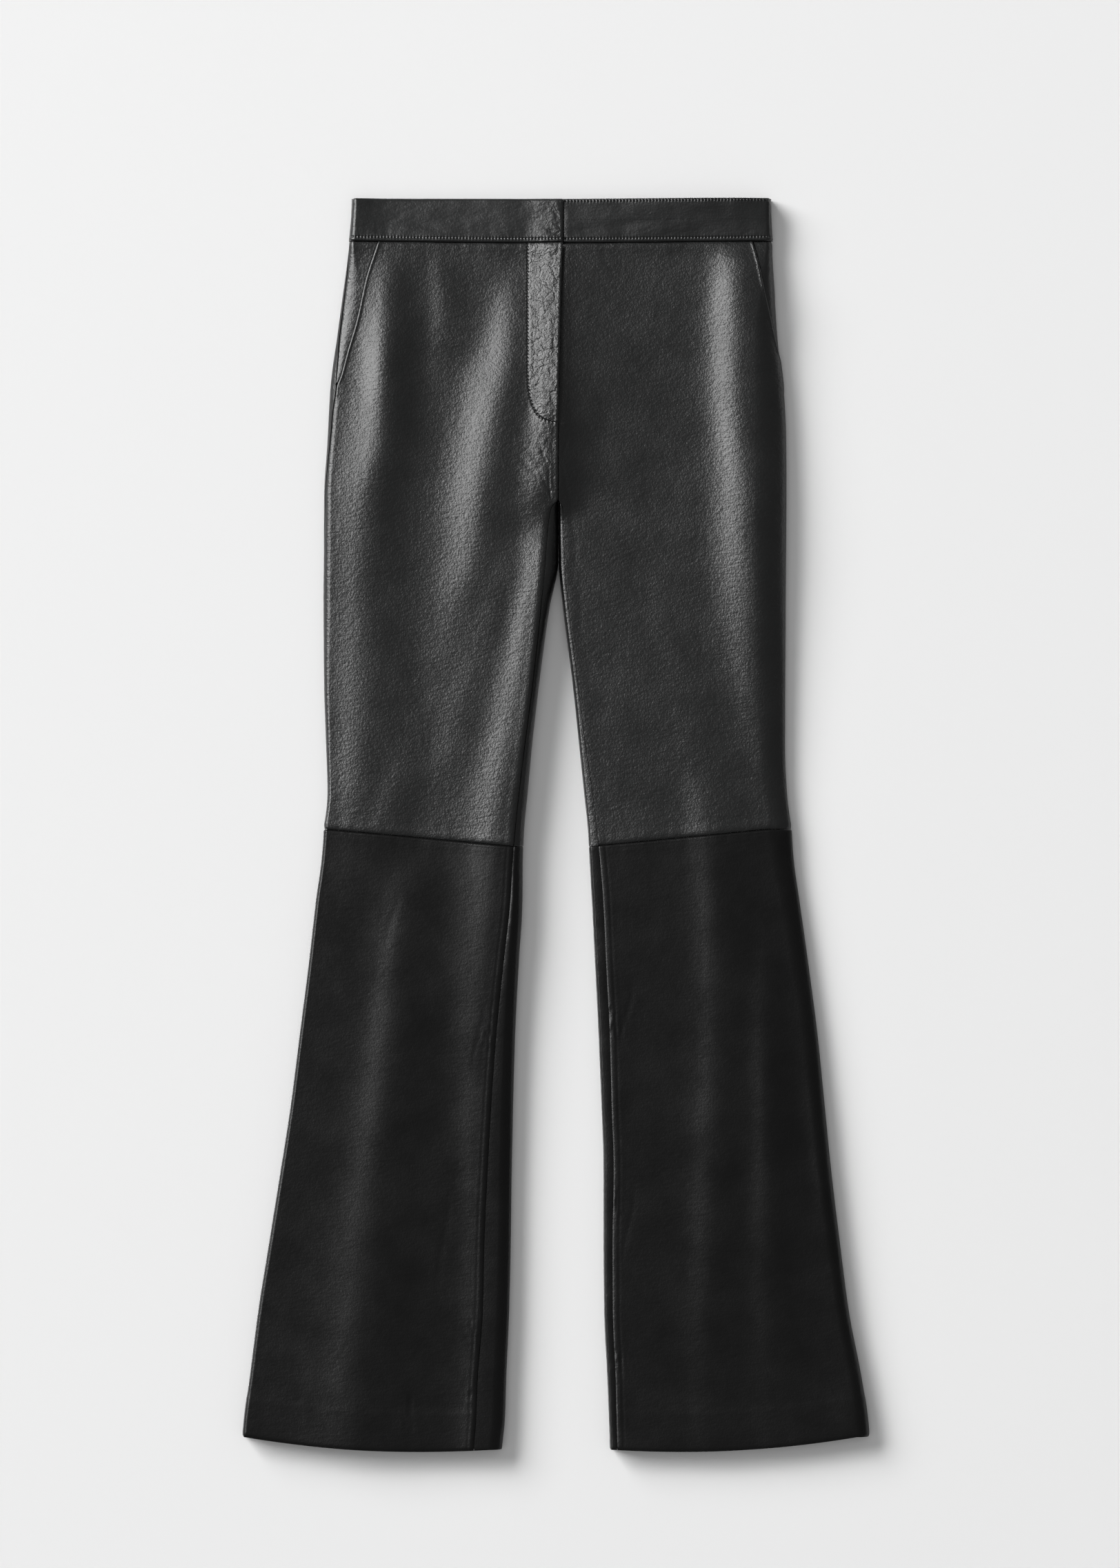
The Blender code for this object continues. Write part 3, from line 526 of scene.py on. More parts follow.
flyStitch = {
    "pitch": 3.1,  # mm from stitch to stitch
    "line": [
        # below, x: straight down, then a quarter round to the lap's edge
        (38.0, -24.2), (150.0, -24.2), (160.5, -23.6), (170.5, -22.2), (178.0, -19.9), (183.6, -17.0),
        (187.6, -13.2), (190.0, -9.0), (191.4, -4.0), (191.9, 1.4),
    ],
}
bandStitch = {
    "pitch": 2.8,
    "inset": 3.4,     # the row above the lower seam
    "topInset": 1.9,  # the row under the top edge, left half only
}


def insideFly(x, below):
    # one inside the J, zero outside
    rows = flyStitch["line"]
    edge = np.interp(below, [row[0] for row in rows], [row[1] for row in rows])
    return smooth((x - edge) / 2) * smooth((rows[-1][0] - below) / 2)


crotchCreases = [
    # below, x, heading, length, depth, half width
    (228, -13, 48, 26, 0.40, 1.1), (238, -6, 96, 20, 0.50, 1.0), (219, -11, 118, 24, 0.35, 1.0),
    (222, -17, 150, 26, 0.30, 1.2), (215, -10, 70, 20, 0.30, 0.9), (231, -22, 140, 34, 0.30, 1.8),
    (243, -9, 122, 26, 0.45, 1.3), (249, -5, 104, 18, 0.45, 0.9), (208, -6, 160, 16, 0.25, 0.9),
    (204, -14, 28, 18, 0.25, 1.0), (247, 9, 116, 22, 0.20, 1.6), (270, 13, 100, 40, 0.16, 2.8),
    (305, 16, 95, 56, 0.16, 3.6), (350, 21, 97, 60, 0.14, 4.0), (236, 7, 112, 18, 0.16, 1.4),
    (213, 8, 82, 26, 0.22, 1.2),
]
frontThighs = {
    "seed": {"right": 11, "left": 31},
    "waviness": 0.20,
    "edges": [
        # edge, sink, bead, and where they aren't the usual ones: over, bead's place, bead's half width
        ("fromTop", 0.9, 0.35),
        ("fromBottom", 0.8, 0.30),
    ],
    "gathers": [
        # edge, along, spacing, reach, amount, seed
        ("fromTop", "x", 9, 9, 0.25, 51),
        ("fromBottom", "x", 6.5, 6, 0.30, 61),
    ],
    "creases": {"right": crotchCreases, "left": crotchCreases},
    "pocketMouth": (1.1, 0.5, 0.6, 1.5, 1.3),
    "sideSeam": (0.5, 0.06),
    "lap": (0.8, 0.25, 0.5, 1.8, 1.5),
    "inseam": (0.75, 0.3),
    "inseamGathers": (8, 6, 0.3, 71),
    "inseamPull": {"right": 1.0, "left": 0.12},  # the left leg's inseam lies quieter
    "mouthEase": 8,
    "forkEase": 10,
    # wrinkles at the crotch: from, to, over, x of the middle, reach, strength, the left leg's share
    "wrinkled": (180, 300, 30, 2, 16, 0.8, 0.6),
    "flyWrinkled": (36, 10),  # from where they are at their strongest, over
    "unsewn": 40.0,           # a distance from any stitches that leaves no groove
}
flyCrackle = {
    "wander": (2.0, 11, 88),  # how far its lines stray, over what length, seed
    "cells": [
        # size, share, seed
        (11, 0.55, 81), (6, 0.35, 83),
    ],
    "stretch": 1.25,
    "plump": 0.35,         # the leather between the stitches and the lap's edge stands up by this
    "depth": 0.30,
    "tilt": 0.10,          # and rises towards the lap's edge
    "tiltEnd": (205, 50),  # below, fading over
    "underFly": (186, 10, 262, 12, 22, 0.25),  # from, over, to, over, reach from the seam, depth
}


def flyRelief(grid):
    x, below = grid["x"], grid["below"]
    far, over, wanderSeed = flyCrackle["wander"]
    bent = x + far * gradientNoise(x / over, below / over, wanderSeed)
    lines = 0.0
    for size, share, seed in flyCrackle["cells"]:
        lines = lines + share * crackle(bent / size, below / (size * flyCrackle["stretch"]), seed)
    relief = insideFly(x, below) * (flyCrackle["plump"] + flyCrackle["depth"] * lines)
    end, fade = flyCrackle["tiltEnd"]
    relief += flyCrackle["tilt"] * np.clip(x - flyStitch["line"][0][1], 0, 30) * smooth((end - below) / fade)
    first, firstOver, last, lastOver, reach, depth = flyCrackle["underFly"]
    under = smooth((below - first) / firstOver) * smooth((last - below) / lastOver)
    return relief + depth * under * fading(grid["fromLast"], reach) * lines


def frontThighRelief(side, grid):
    below = grid["below"]
    relief = cutRelief(side, grid, frontThighs)
    belowMouth = smooth((below - garment["mouthEnd"][side]) / frontThighs["mouthEase"])
    relief += (1 - belowMouth) * drawnEdge(grid["fromFirst"], *frontThighs["pocketMouth"])
    relief += belowMouth * drawnEdge(grid["fromFirst"], *frontThighs["sideSeam"])
    fork = smooth((below - garment["crotch"]) / frontThighs["forkEase"])
    pull = fork * frontThighs["inseamPull"][side]
    relief += pull * drawnEdge(grid["fromLast"], *frontThighs["inseam"])
    relief += pull * puckers(grid["fromLast"], below, *frontThighs["inseamGathers"])
    if side == "right":
        relief += (1 - fork) * drawnEdge(grid["fromLast"], *frontThighs["lap"])
        relief += flyRelief(grid)
    return relief


def frontThighFields(side, grid):
    # where the leather is wrinkled and how far the fly's stitches are, for the material
    x, below = grid["x"], grid["below"]
    first, last, over, middle, reach, strength, leftShare = frontThighs["wrinkled"]
    creased = strength * smooth((below - first) / over) * smooth((last - below) / over)
    creased *= fading(np.abs(x - middle), reach)
    if side == "left":
        away = np.full_like(x, frontThighs["unsewn"])
        return {"wrinkled": leftShare * creased, "stitchAway": away, "stitchAlong": 0 * x}
    away, along = alongLine(x, below, flyStitch["line"])
    first, over = frontThighs["flyWrinkled"]
    fly = insideFly(x, below) * (smooth((below - first) / over) + 1) / 2
    return {"wrinkled": np.maximum(fly, creased), "stitchAway": away, "stitchAlong": along}


frontCalves = {
    "seed": {"right": 91, "left": 111},
    "waviness": 0.14,
    "edges": [
        ("fromTop", 0.8, 0.20),
        ("fromTop", 0.0, 0.35, 0.9, 1.5, 0.9),    # the knee seam's turnings, pressed down to the calf
        ("fromFirst", 0.7, 0.15),
        ("fromLast", 0.0, -0.16, 0.9, 5.5, 1.1),  # the groove beside the inseam's turnings
        ("fromBottom", 1.3, 0.0, 1.3),
    ],
    "gathers": [("fromTop", "x", 10, 10, 0.18, 121)],
    "inseam": (0.8, 0.2),
    "inseamGathers": (9, 7, 0.25, 131),
    "inseamPull": {"right": 1.0, "left": 0.472},
    "inseamDraws": {"right": (715, 968, 1024), "left": (704, 860, 995)},  # where it is drawn up most
    "drawReach": (9, 16),            # across, down
    "drawWave": (3.2, 6, 133, 0.35),  # across, down, seed, height
    "hemStep": 0.28,
    "hemBead": (0.16, 1.6),          # height, half width
    "hemWave": (14, 9, 141),
    "creases": {
        "right": [
            # below, x, heading, length, depth, half width
            (1040, -124, 98, 42, 0.50, 1.0), (1050, -128, 104, 22, 0.30, 0.9),
            (1028, -100, 4, 46, -0.12, 0.9), (1023, -176, 6, 60, -0.12, 0.9),
            (1031, -72, 0, 24, -0.20, 0.8), (716, -66, 84, 60, 0.12, 2.2), (890, -96, 88, 90, 0.14, 3.0),
            (615, -140, 82, 60, 0.15, 2.6),
        ],
        "left": [
            (722, 118, 3, 52, -0.12, 0.7), (836, 96, 2, 60, -0.13, 0.7), (844, 150, 3, 30, -0.10, 0.7),
            (920, 124, 2, 46, -0.10, 0.7), (1030, 130, 2, 90, -0.10, 0.9), (700, 60, 84, 70, 0.16, 2.4),
            (880, 62, 86, 80, 0.14, 2.6),
        ],
    },
}


def frontCalfRelief(side, grid):
    x, below = grid["x"], grid["below"]
    relief = cutRelief(side, grid, frontCalves)
    pull = frontCalves["inseamPull"][side]
    relief += pull * drawnEdge(grid["fromLast"], *frontCalves["inseam"])
    relief += pull * puckers(grid["fromLast"], below, *frontCalves["inseamGathers"])
    reach, halfLength = frontCalves["drawReach"]
    drawn = sum(bell(below, at, halfLength) for at in frontCalves["inseamDraws"][side])
    across, down, seed, height = frontCalves["drawWave"]
    relief += height * drawn * fading(grid["fromLast"], reach) * gradientNoise(x / across, below / down, seed)
    turnUp = grid["fromBottom"] - garment["hemTurn"]
    relief += frontCalves["hemStep"] * smooth(-turnUp / garment["hemEase"])
    height, halfWidth = frontCalves["hemBead"]
    across, down, seed = frontCalves["hemWave"]
    relief += height * bell(turnUp, 0, halfWidth) * (0.5 + gradientNoise(x / across, below / down, seed))
    return relief


backCalves = {
    "seed": {"right": 151, "left": 151},
    "waviness": 0.12,
    "edges": [("fromFirst", 0.7, 0.15), ("fromBottom", 0.5, 0.0, 1.0), ("fromTop", 0.5, 0.0, 1.0)],
    "gathers": [("fromFirst", "below", 7, 9, 0.35, 161)],
    "creases": {"right": [], "left": []},
    "flatBelow": 3,  # mm over the surface
}


def backCalfRelief(side, grid):
    # flat where it lies on the surface, with relief where it rises at the edges
    return cutRelief(side, grid, backCalves) * smooth(grid["z"] / backCalves["flatBelow"])


pocketFacings = {
    "seed": {"right": 201, "left": 201},
    "waviness": 0.35,
    "edges": [("fromFirst", 0.6, 0.2), ("fromTop", 0.7, 0.3)],
    "gathers": [],
    "creases": {
        # below, x, heading, length, depth, half width
        "right": [
            (54, -167, 35, 16, 0.35, 1.3), (74, -172, 28, 18, 0.35, 1.5), (96, -180, 70, 30, 0.25, 1.6),
        ],
        "left": [
            (46, 176, 150, 12, 0.35, 1.2), (62, 181, 140, 14, 0.35, 1.3), (92, 188, 100, 26, 0.25, 1.5),
        ],
    },
    "wall": 1.2,
}
frontBands = {
    "waves": (171, 0.30),            # seed, amount
    "waveFiner": (1.2, 1.4),         # than the legs', across and down
    "endEase": 12,
    "mottle": (17, 13, 175, 0.20),   # across, down, seed, amount
    "topEdge": (1.2, 0.0, 0.9),
    "seam": (0.9, 0.25, 0.7, 1.4, 0.9),
    "lapEnd": (1.2, 0.0, 0.7),
    "gathers": (4.2, 6, 0.28, 181),
    "gathersStart": (1.2, 2.2, 1.5),  # how far under the stitches; from where above the seam, over
    # each half is tipped, the left away from the light: rise for each mm up, and the x where it starts
    "tip": {"right": (-0.085, -20), "left": (0.115, 8)},
    "tipOver": (120, 40),            # from there, and from the band's outer end
    "lapCrackle": (0.22, 16, 6, 11, 8, 191),  # depth, reach, across, lean, down, seed
    "lapWrinkled": (0.8, 14),        # strength, reach
    "creases": {
        "right": [
            # below, x, heading, length, depth, half width
            (29, -2, 160, 26, 0.5, 1.6), (31, -54, 95, 14, 0.3, 1.0), (30, -58, 105, 12, 0.25, 1.0),
            (24, -110, 172, 46, 0.25, 3.2), (14, -80, 10, 60, 0.20, 3.6), (27, -150, 168, 34, 0.25, 2.4),
        ],
        "left": [
            (20, 70, 12, 120, 0.25, 4.0), (26, 40, 16, 90, 0.22, 4.0), (12, 120, 8, 80, 0.20, 4.5),
            (29, 104, 14, 50, 0.20, 2.6),
        ],
    },
}


def bandRelief(side, grid):
    x, below, up, fromEnd = grid["x"], grid["below"], grid["fromBottom"], grid["fromFirst"]
    finerX, finerBelow = frontBands["waveFiner"]
    relief = waviness(x * finerX, below * finerBelow, *frontBands["waves"])
    relief *= smooth(fromEnd / frontBands["endEase"])
    across, down, seed, amount = frontBands["mottle"]
    relief += amount * gradientNoise(x / across, below / down, seed)
    relief += drawnEdge(grid["fromTop"], *frontBands["topEdge"]) + drawnEdge(up, *frontBands["seam"])
    under, first, over = frontBands["gathersStart"]
    sewn = puckers(up - bandStitch["inset"] + under, x, *frontBands["gathers"])
    relief += sewn * smooth((up - first) / over)
    tip, start = frontBands["tip"][side]
    tipOver, endOver = frontBands["tipOver"]
    relief += tip * up * smooth(outward[side] * (x - start) / tipOver) * smooth(fromEnd / endOver)
    relief += creaseLines(x, below, frontBands["creases"][side])
    if side == "right":
        relief += drawnEdge(grid["fromLast"], *frontBands["lapEnd"])
        depth, reach, across, lean, down, seed = frontBands["lapCrackle"]
        lines = crackle(x / across + below / lean, below / down, seed)
        relief += depth * fading(grid["fromLast"], reach) * lines
    return relief


def bandFields(side, grid):
    away, wrinkled = grid["fromBottom"] - bandStitch["inset"], 0 * grid["x"]
    if side == "left":
        top = bandStitch["topInset"] - grid["fromTop"]
        away = np.where(np.abs(top) < np.abs(away), top, away)
    else:
        strength, reach = frontBands["lapWrinkled"]
        wrinkled = strength * fading(grid["fromLast"], reach)
    return {"wrinkled": wrinkled, "stitchAway": away, "stitchAlong": np.abs(grid["x"])}


# Meshes
leastWall = 0.3  # mm
sharpFrom = 60   # degrees


def lengthsAlong(points, axis):
    step = np.linalg.norm(np.diff(points, axis=axis), axis=-1)
    start = np.zeros_like(np.take(step, [0], axis=axis))
    return np.concatenate([start, np.cumsum(step, axis=axis)], axis=axis)


def panelGrid(side, turns, levels, drop=0.0):
    levels = np.broadcast_to(np.asarray(levels, float)[:, None], turns.shape)
    points = ringPoint(side, turns, levels, drop)
    across, down = lengthsAlong(points, 1), lengthsAlong(points, 0)
    return {
        "side": side,
        "points": points,
        "x": points[..., 0],
        "below": garment["length"] / 2 - points[..., 1],
        "z": points[..., 2],
        "fromFirst": across,
        "fromLast": across[:, -1:] - across,
        "fromTop": down,
        "fromBottom": down[-1:, :] - down,
    }


def faceNormals(grid, points):
    across, down = np.gradient(points, axis=1), np.gradient(points, axis=0)
    normal = np.cross(across, -down) * -outward[grid["side"]]
    return normal / np.maximum(np.linalg.norm(normal, axis=-1, keepdims=True), 1e-9)


def raised(grid, relief, wall, proud=0.0, sunk=0.0):
    # outer and inner points of a wall with relief on its outer face
    points = grid["points"]
    normal = faceNormals(grid, points)
    outer = points + normal * (relief + proud - sunk)[..., None]
    outer[..., 2] = np.maximum(outer[..., 2], 0.0)
    inner = outer - faceNormals(grid, outer) * wall
    inner[..., 2] = np.maximum(inner[..., 2], outer[..., 2].min() + leastWall)
    return outer, inner


def wallPiece(name, patches, material, fields=None):
    # a closed wall; patches of (outer, inner) points join where their points meet
    sheet = bmesh.new()
    fields = fields or {}
    layers = [sheet.verts.layers.float.new(key) for key in fields]
    innerPlace = sheet.verts.layers.float_vector.new("innerPlace")
    for outer, inner in patches:
        rows, columns = outer.shape[:2]
        made = [sheet.verts.new(point) for point in (outer.reshape(-1, 3) * mm).tolist()]
        for vert, place in zip(made, (inner.reshape(-1, 3) * mm).tolist()):
            vert[innerPlace] = place
        for layer, values in zip(layers, fields.values()):
            for vert, value in zip(made, values.ravel().tolist()):
                vert[layer] = value
        for i in range(rows - 1):
            for j in range(columns - 1):
                k = i * columns + j
                sheet.faces.new((made[k], made[k + 1], made[k + columns + 1], made[k + columns]))
    if len(patches) > 1:
        bmesh.ops.remove_doubles(sheet, verts=sheet.verts, dist=1e-6)
    faces = list(sheet.faces)
    rim = [edge.link_loops[0] for edge in sheet.edges if edge.is_boundary]
    twin = {vert: sheet.verts.new(vert[innerPlace]) for vert in list(sheet.verts)}
    for vert, under in twin.items():
        for layer in layers:
            under[layer] = vert[layer]
    for face in faces:
        sheet.faces.new([twin[vert] for vert in reversed(face.verts)])
    for loop in rim:
        start, end = loop.vert, loop.link_loop_next.vert
        sheet.faces.new([end, start, twin[start], twin[end]])
    bmesh.ops.recalc_face_normals(sheet, faces=sheet.faces)
    sheet.verts.layers.float_vector.remove(innerPlace)
    mesh = bpy.data.meshes.new(name)
    sheet.to_mesh(mesh)
    sheet.free()
    mesh.shade_smooth()
    mesh.set_sharp_from_angle(angle=np.radians(sharpFrom))
    mesh.materials.append(material)
    piece = bpy.data.objects.new(name, mesh)
    bpy.context.scene.collection.objects.link(piece)
    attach(piece, "root")
    print("made", name, len(mesh.polygons), "faces")
    return piece


# Materials: the hide's grain, gathers and stitch grooves are shader bumps, everything wider is mesh
def linear(code):
    values = [int(code[k : k + 2], 16) / 255 for k in (1, 3, 5)]
    return (*[v / 12.92 if v <= 0.04045 else ((v + 0.055) / 1.055) ** 2.4 for v in values], 1.0)


def plug(tree, node, **inputs):
    # an input's name, with _ for a space or before its number, and a socket or a plain value for it
    for key, value in inputs.items():
        socket = node.inputs[int(key[1:])] if key[0] == "_" else node.inputs[key.replace("_", " ")]
        if isinstance(value, bpy.types.NodeSocket):
            tree.links.new(value, socket)
        else:
            socket.default_value = value


def addNode(tree, kind, settings=None, **inputs):
    node = tree.nodes.new("ShaderNode" + kind)
    for key, value in (settings or {}).items():
        setattr(node, key, value)
    plug(tree, node, **inputs)
    return node


def newMaterial(name):
    material = bpy.data.materials.new(name)
    material.use_nodes = True
    tree = material.node_tree
    tree.nodes.clear()
    shader = addNode(tree, "BsdfPrincipled")
    addNode(tree, "OutputMaterial", Surface=shader.outputs["BSDF"])
    place = addNode(tree, "TexCoord").outputs["Object"]
    return material, tree, shader, place


thighHide = {
    "dark": "#0b0c0c",
    "light": "#131414",
    "pebble": 1.6,        # mm, one grain of the hide
    "pebbleDepth": 0.15,  # mm
    "pore": 0.6,          # mm; a real pore is near 0.1 and wouldn't show
    "poreDepth": 0.04,
    "ripple": 3.2,
    "rippleDepth": 0.32,
    "roughness": 0.33,
    "specular": 0.5,
}
calfHide = {
    "dark": "#060606",
    "light": "#0b0b0b",
    "pebble": 1.6,
    "pebbleDepth": 0.06,
    "pore": 0.45,
    "poreDepth": 0.014,
    "ripple": 3.4,
    "rippleDepth": 0.15,
    "roughness": 0.32,
    "specular": 0.25,
}
bandHide = {
    "dark": "#111212",
    "light": "#1b1c1c",
    "pebble": 1.7,
    "pebbleDepth": 0.08,
    "pore": 0.45,
    "poreDepth": 0.02,
    "ripple": 3.6,
    "rippleDepth": 0.28,
    "roughness": 0.32,
    "specular": 0.45,
}
hideGrain = {
    "stray": (160.0, (1.6, 1.6, 1.6)),  # times to a metre, and how far in mm
    "turn": (0.0, 0.0, 0.45),
    "stretch": (1.0, 0.82, 1.0),
    "soft": 0.5,
    "finer": 1.9,        # finer grains to one pebble, and their share of its height
    "finerShare": 0.35,
    "patches": 26.0,     # patches of closer and looser hide to a metre
    "loosest": 0.55,     # the grain's strength there
    "shineSpread": 0.04,
    "rippleStretch": (0.55, 1.25, 1.0),
    "ior": 1.5,
}
sewnHide = {
    "stray": (1 / (7 * mm), (12, 10, 0)),
    "wrinkle": 8.5,      # mm, a cell of the net of wrinkles
    "wrinkleDepth": 0.17,
    "wrinkleEdge": 0.22,  # the share of a cell that slopes to its edge
    "wrinkleFiner": 0.45,
    "grooveWidth": 0.8,
    "grooveDepth": 0.38,
    "needleHole": 0.45,  # how much deeper the groove is there, as a share
    "gatherReach": 1.9,
    "gathers": 0.14,
}
noiseLow, noiseHigh = 0.3, 0.7  # nearly all of a noise lies between these


def strayed(tree, place, scale, reach):
    # places pushed about by a noise, so that a pattern doesn't look stamped
    noise = addNode(tree, "TexNoise", Vector=place, Scale=scale, Detail=2.0).outputs["Color"]
    reach = [way * mm for way in reach]
    add = {"operation": "MULTIPLY_ADD"}
    return addNode(tree, "VectorMath", add, _0=noise, _1=reach, _2=place).outputs["Vector"]


def wrinkleNet(tree, place):
    # the fine net of broken lines where leather is pulled tight by its sewing
    bend = strayed(tree, place, *sewnHide["stray"])
    ease, edges = {"interpolation_type": "SMOOTHSTEP"}, {"feature": "DISTANCE_TO_EDGE"}
    slope, total = sewnHide["wrinkleEdge"], 0.0
    for share in (1.0, sewnHide["wrinkleFiner"]):
        scale = 1 / (sewnHide["wrinkle"] * share * mm)
        net = addNode(tree, "TexVoronoi", edges, Vector=bend, Scale=scale).outputs["Distance"]
        line = addNode(tree, "MapRange", ease, Value=net, _1=0.0, _2=slope, _3=0.0, _4=share)
        total = addNode(tree, "Math", {"operation": "ADD"}, _0=total, _1=line.outputs["Result"])
        total = total.outputs["Value"]
    read = {"attribute_type": "GEOMETRY", "attribute_name": "wrinkled"}
    mask = addNode(tree, "Attribute", read).outputs["Fac"]
    return addNode(tree, "Math", {"operation": "MULTIPLY"}, _0=total, _1=mask).outputs["Value"]


def stitchGroove(tree, pitch):
    # the groove that a row of stitches pulls, deepest at each needle hole, and the gathers beside it
    made = {}
    for name in ("stitchAway", "stitchAlong"):
        read = {"attribute_type": "GEOMETRY", "attribute_name": name}
        made[name] = addNode(tree, "Attribute", read).outputs["Fac"]
    for name, operation, *values in (
        ("turn", "MULTIPLY", "stitchAlong", 2 * np.pi / pitch),
        ("wave", "COSINE", "turn"),
        ("square", "MULTIPLY", "stitchAway", "stitchAway"),
        ("fall", "MULTIPLY", "square", -1 / sewnHide["grooveWidth"] ** 2),
        ("groove", "EXPONENT", "fall"),
        ("holes", "MULTIPLY_ADD", "wave", sewnHide["needleHole"], 1.0),
        ("wideFall", "MULTIPLY", "square", -1 / sewnHide["gatherReach"] ** 2),
        ("beside", "EXPONENT", "wideFall"),
        ("gathered", "MULTIPLY", "beside", "wave"),
        ("gathers", "MULTIPLY", "gathered", sewnHide["gathers"]),
        ("depth", "MULTIPLY_ADD", "groove", "holes", "gathers"),
    ):
        inputs = {f"_{k}": made.get(value, value) for k, value in enumerate(values)}
        made[name] = addNode(tree, "Math", {"operation": operation}, **inputs).outputs["Value"]
    return made["depth"]


def hideMaterial(name, look, stitchPitch=None):
    # lambskin dyed black in the drum and plated: a soft broad sheen broken up by its pebbled grain
    material, tree, shader, place = newMaterial(name)
    grain = hideGrain
    bend = strayed(tree, place, *grain["stray"])
    laid = addNode(tree, "Mapping", Vector=bend, Rotation=grain["turn"], Scale=grain["stretch"])
    laid, scale = laid.outputs["Vector"], 1 / (look["pebble"] * mm)
    soft = {"feature": "SMOOTH_F1"}
    pebble = addNode(tree, "TexVoronoi", soft, Vector=laid, Scale=scale, Smoothness=grain["soft"])
    finer = addNode(tree, "TexVoronoi", {"feature": "F1"}, Vector=laid, Scale=scale * grain["finer"])
    heights = {"_0": finer.outputs["Distance"], "_1": grain["finerShare"], "_2": pebble.outputs["Distance"]}
    pebbles = addNode(tree, "Math", {"operation": "MULTIPLY_ADD"}, **heights).outputs["Value"]
    pore = addNode(tree, "TexNoise", Vector=place, Scale=1 / (look["pore"] * mm), Detail=2.0, Roughness=0.6)
    # the shallow ripples that handling leaves across a hide, longer than they are wide
    drawn = addNode(tree, "Mapping", Vector=bend, Scale=grain["rippleStretch"]).outputs["Vector"]
    ripple = addNode(tree, "TexNoise", Vector=drawn, Scale=1 / (look["ripple"] * mm), Detail=2.0)
    patch = addNode(tree, "TexNoise", Vector=place, Scale=grain["patches"], Detail=4.0, Roughness=0.6)
    spans = {"Value": patch.outputs["Fac"], "_1": noiseLow, "_2": noiseHigh}
    strength = addNode(tree, "MapRange", **spans, _3=grain["loosest"], _4=1.0).outputs["Result"]
    layers = [
        # height, its reach in mm, strength, whether it goes in
        (ripple.outputs["Fac"], look["rippleDepth"], 1.0, False),
        (pebbles, look["pebbleDepth"], strength, True),
        (pore.outputs["Fac"], look["poreDepth"], 1.0, False),
    ]
    if stitchPitch:
        layers.append((wrinkleNet(tree, place), sewnHide["wrinkleDepth"], 1.0, False))
        layers.append((stitchGroove(tree, stitchPitch), sewnHide["grooveDepth"], 1.0, True))
    under = {}
    for height, depth, strength, goesIn in layers:
        shape = {"Height": height, "Distance": depth * mm, "Strength": strength, **under}
        under = {"Normal": addNode(tree, "Bump", {"invert": goesIn}, **shape).outputs["Normal"]}
    tones = {"_6": linear(look["dark"]), "_7": linear(look["light"])}
    colour = addNode(tree, "Mix", {"data_type": "RGBA"}, _0=patch.outputs["Fac"], **tones).outputs[2]
    least, most = look["roughness"] - grain["shineSpread"], look["roughness"] + grain["shineSpread"]
    shine = addNode(tree, "MapRange", **spans, _3=least, _4=most).outputs["Result"]
    plug(tree, shader, Base_Color=colour, Roughness=shine, **under)
    plug(tree, shader, IOR=grain["ior"], Specular_IOR_Level=look["specular"])
    return material


finishes = {
    # spun polyester sewing thread: matt, with a fine twist
    "spun polyester thread, black": {
        "pattern": ("TexWave", {}, {"Scale": 900.0, "Distortion": 1.0}),
        "bump": (0.05, 0.6),  # mm, strength
        "surface": {"Base_Color": linear("#060606"), "Roughness": 0.75, "Specular_IOR_Level": 0.15},
    },
    # woven polyester zip tape: a matt black with the ribs of its weave
    "zip tape, woven polyester": {
        "pattern": ("TexWave", {"bands_direction": "Y"}, {"Scale": 320.0, "Distortion": 0.4}),
        "bump": (0.08, 0.7),
        "surface": {"Roughness": 0.8, "Specular_IOR_Level": 0.2},
        "tones": ("#0a0a0b", "#191a1b"),
    },
    # stamped steel, zinc plated: a grey metal dulled by the tumbling drum
    "hook plate, stamped steel, zinc plated": {
        "pattern": ("TexNoise", {}, {"Scale": 1800.0, "Detail": 3.0}),
        "bump": (0.02, 0.5),
        "surface": {"Base_Color": linear("#b9bcc0"), "Metallic": 1.0},
        "shine": (0.28, 0.42),
    },
    # matt white card: even and pale, with a paper's tooth
    "matt white studio board": {
        "pattern": ("TexNoise", {}, {"Scale": 900.0, "Detail": 3.0}),
        "bump": (0.03, 0.4),
        "surface": {"Base_Color": linear("#f7f7f7"), "Roughness": 0.9, "Specular_IOR_Level": 0.1},
    },
}


def plainMaterial(name):
    # its bump, and its colour or shine where they vary, follow one fine pattern
    material, tree, shader, place = newMaterial(name)
    look = finishes[name]
    kind, settings, inputs = look["pattern"]
    pattern = addNode(tree, kind, settings, Vector=place, **inputs).outputs["Fac"]
    plug(tree, shader, **look["surface"])
    if "tones" in look:
        tones = {key: linear(code) for key, code in zip(("_6", "_7"), look["tones"])}
        mixed = addNode(tree, "Mix", {"data_type": "RGBA"}, _0=pattern, **tones)
        plug(tree, shader, Base_Color=mixed.outputs[2])
    if "shine" in look:
        spans = dict(zip(("_1", "_2", "_3", "_4"), (noiseLow, noiseHigh, *look["shine"])))
        plug(tree, shader, Roughness=addNode(tree, "MapRange", Value=pattern, **spans).outputs["Result"])
    depth, strength = look["bump"]
    bump = addNode(tree, "Bump", Height=pattern, Distance=depth * mm, Strength=strength)
    plug(tree, shader, Normal=bump.outputs["Normal"])
    return material


thighLeather = hideMaterial("lambskin, drum dyed and plated, pebbled grain", thighHide)
flyLeather = hideMaterial("lambskin, drum dyed and plated, creased and sewn", thighHide, flyStitch["pitch"])
calfLeather = hideMaterial("lambskin, drum dyed and ironed smooth", calfHide)
bandLeather = hideMaterial("lambskin, drum dyed, waistband split", bandHide)
stitchedBand = hideMaterial("lambskin, drum dyed, waistband topstitched", bandHide, bandStitch["pitch"])
thread = plainMaterial("spun polyester thread, black")

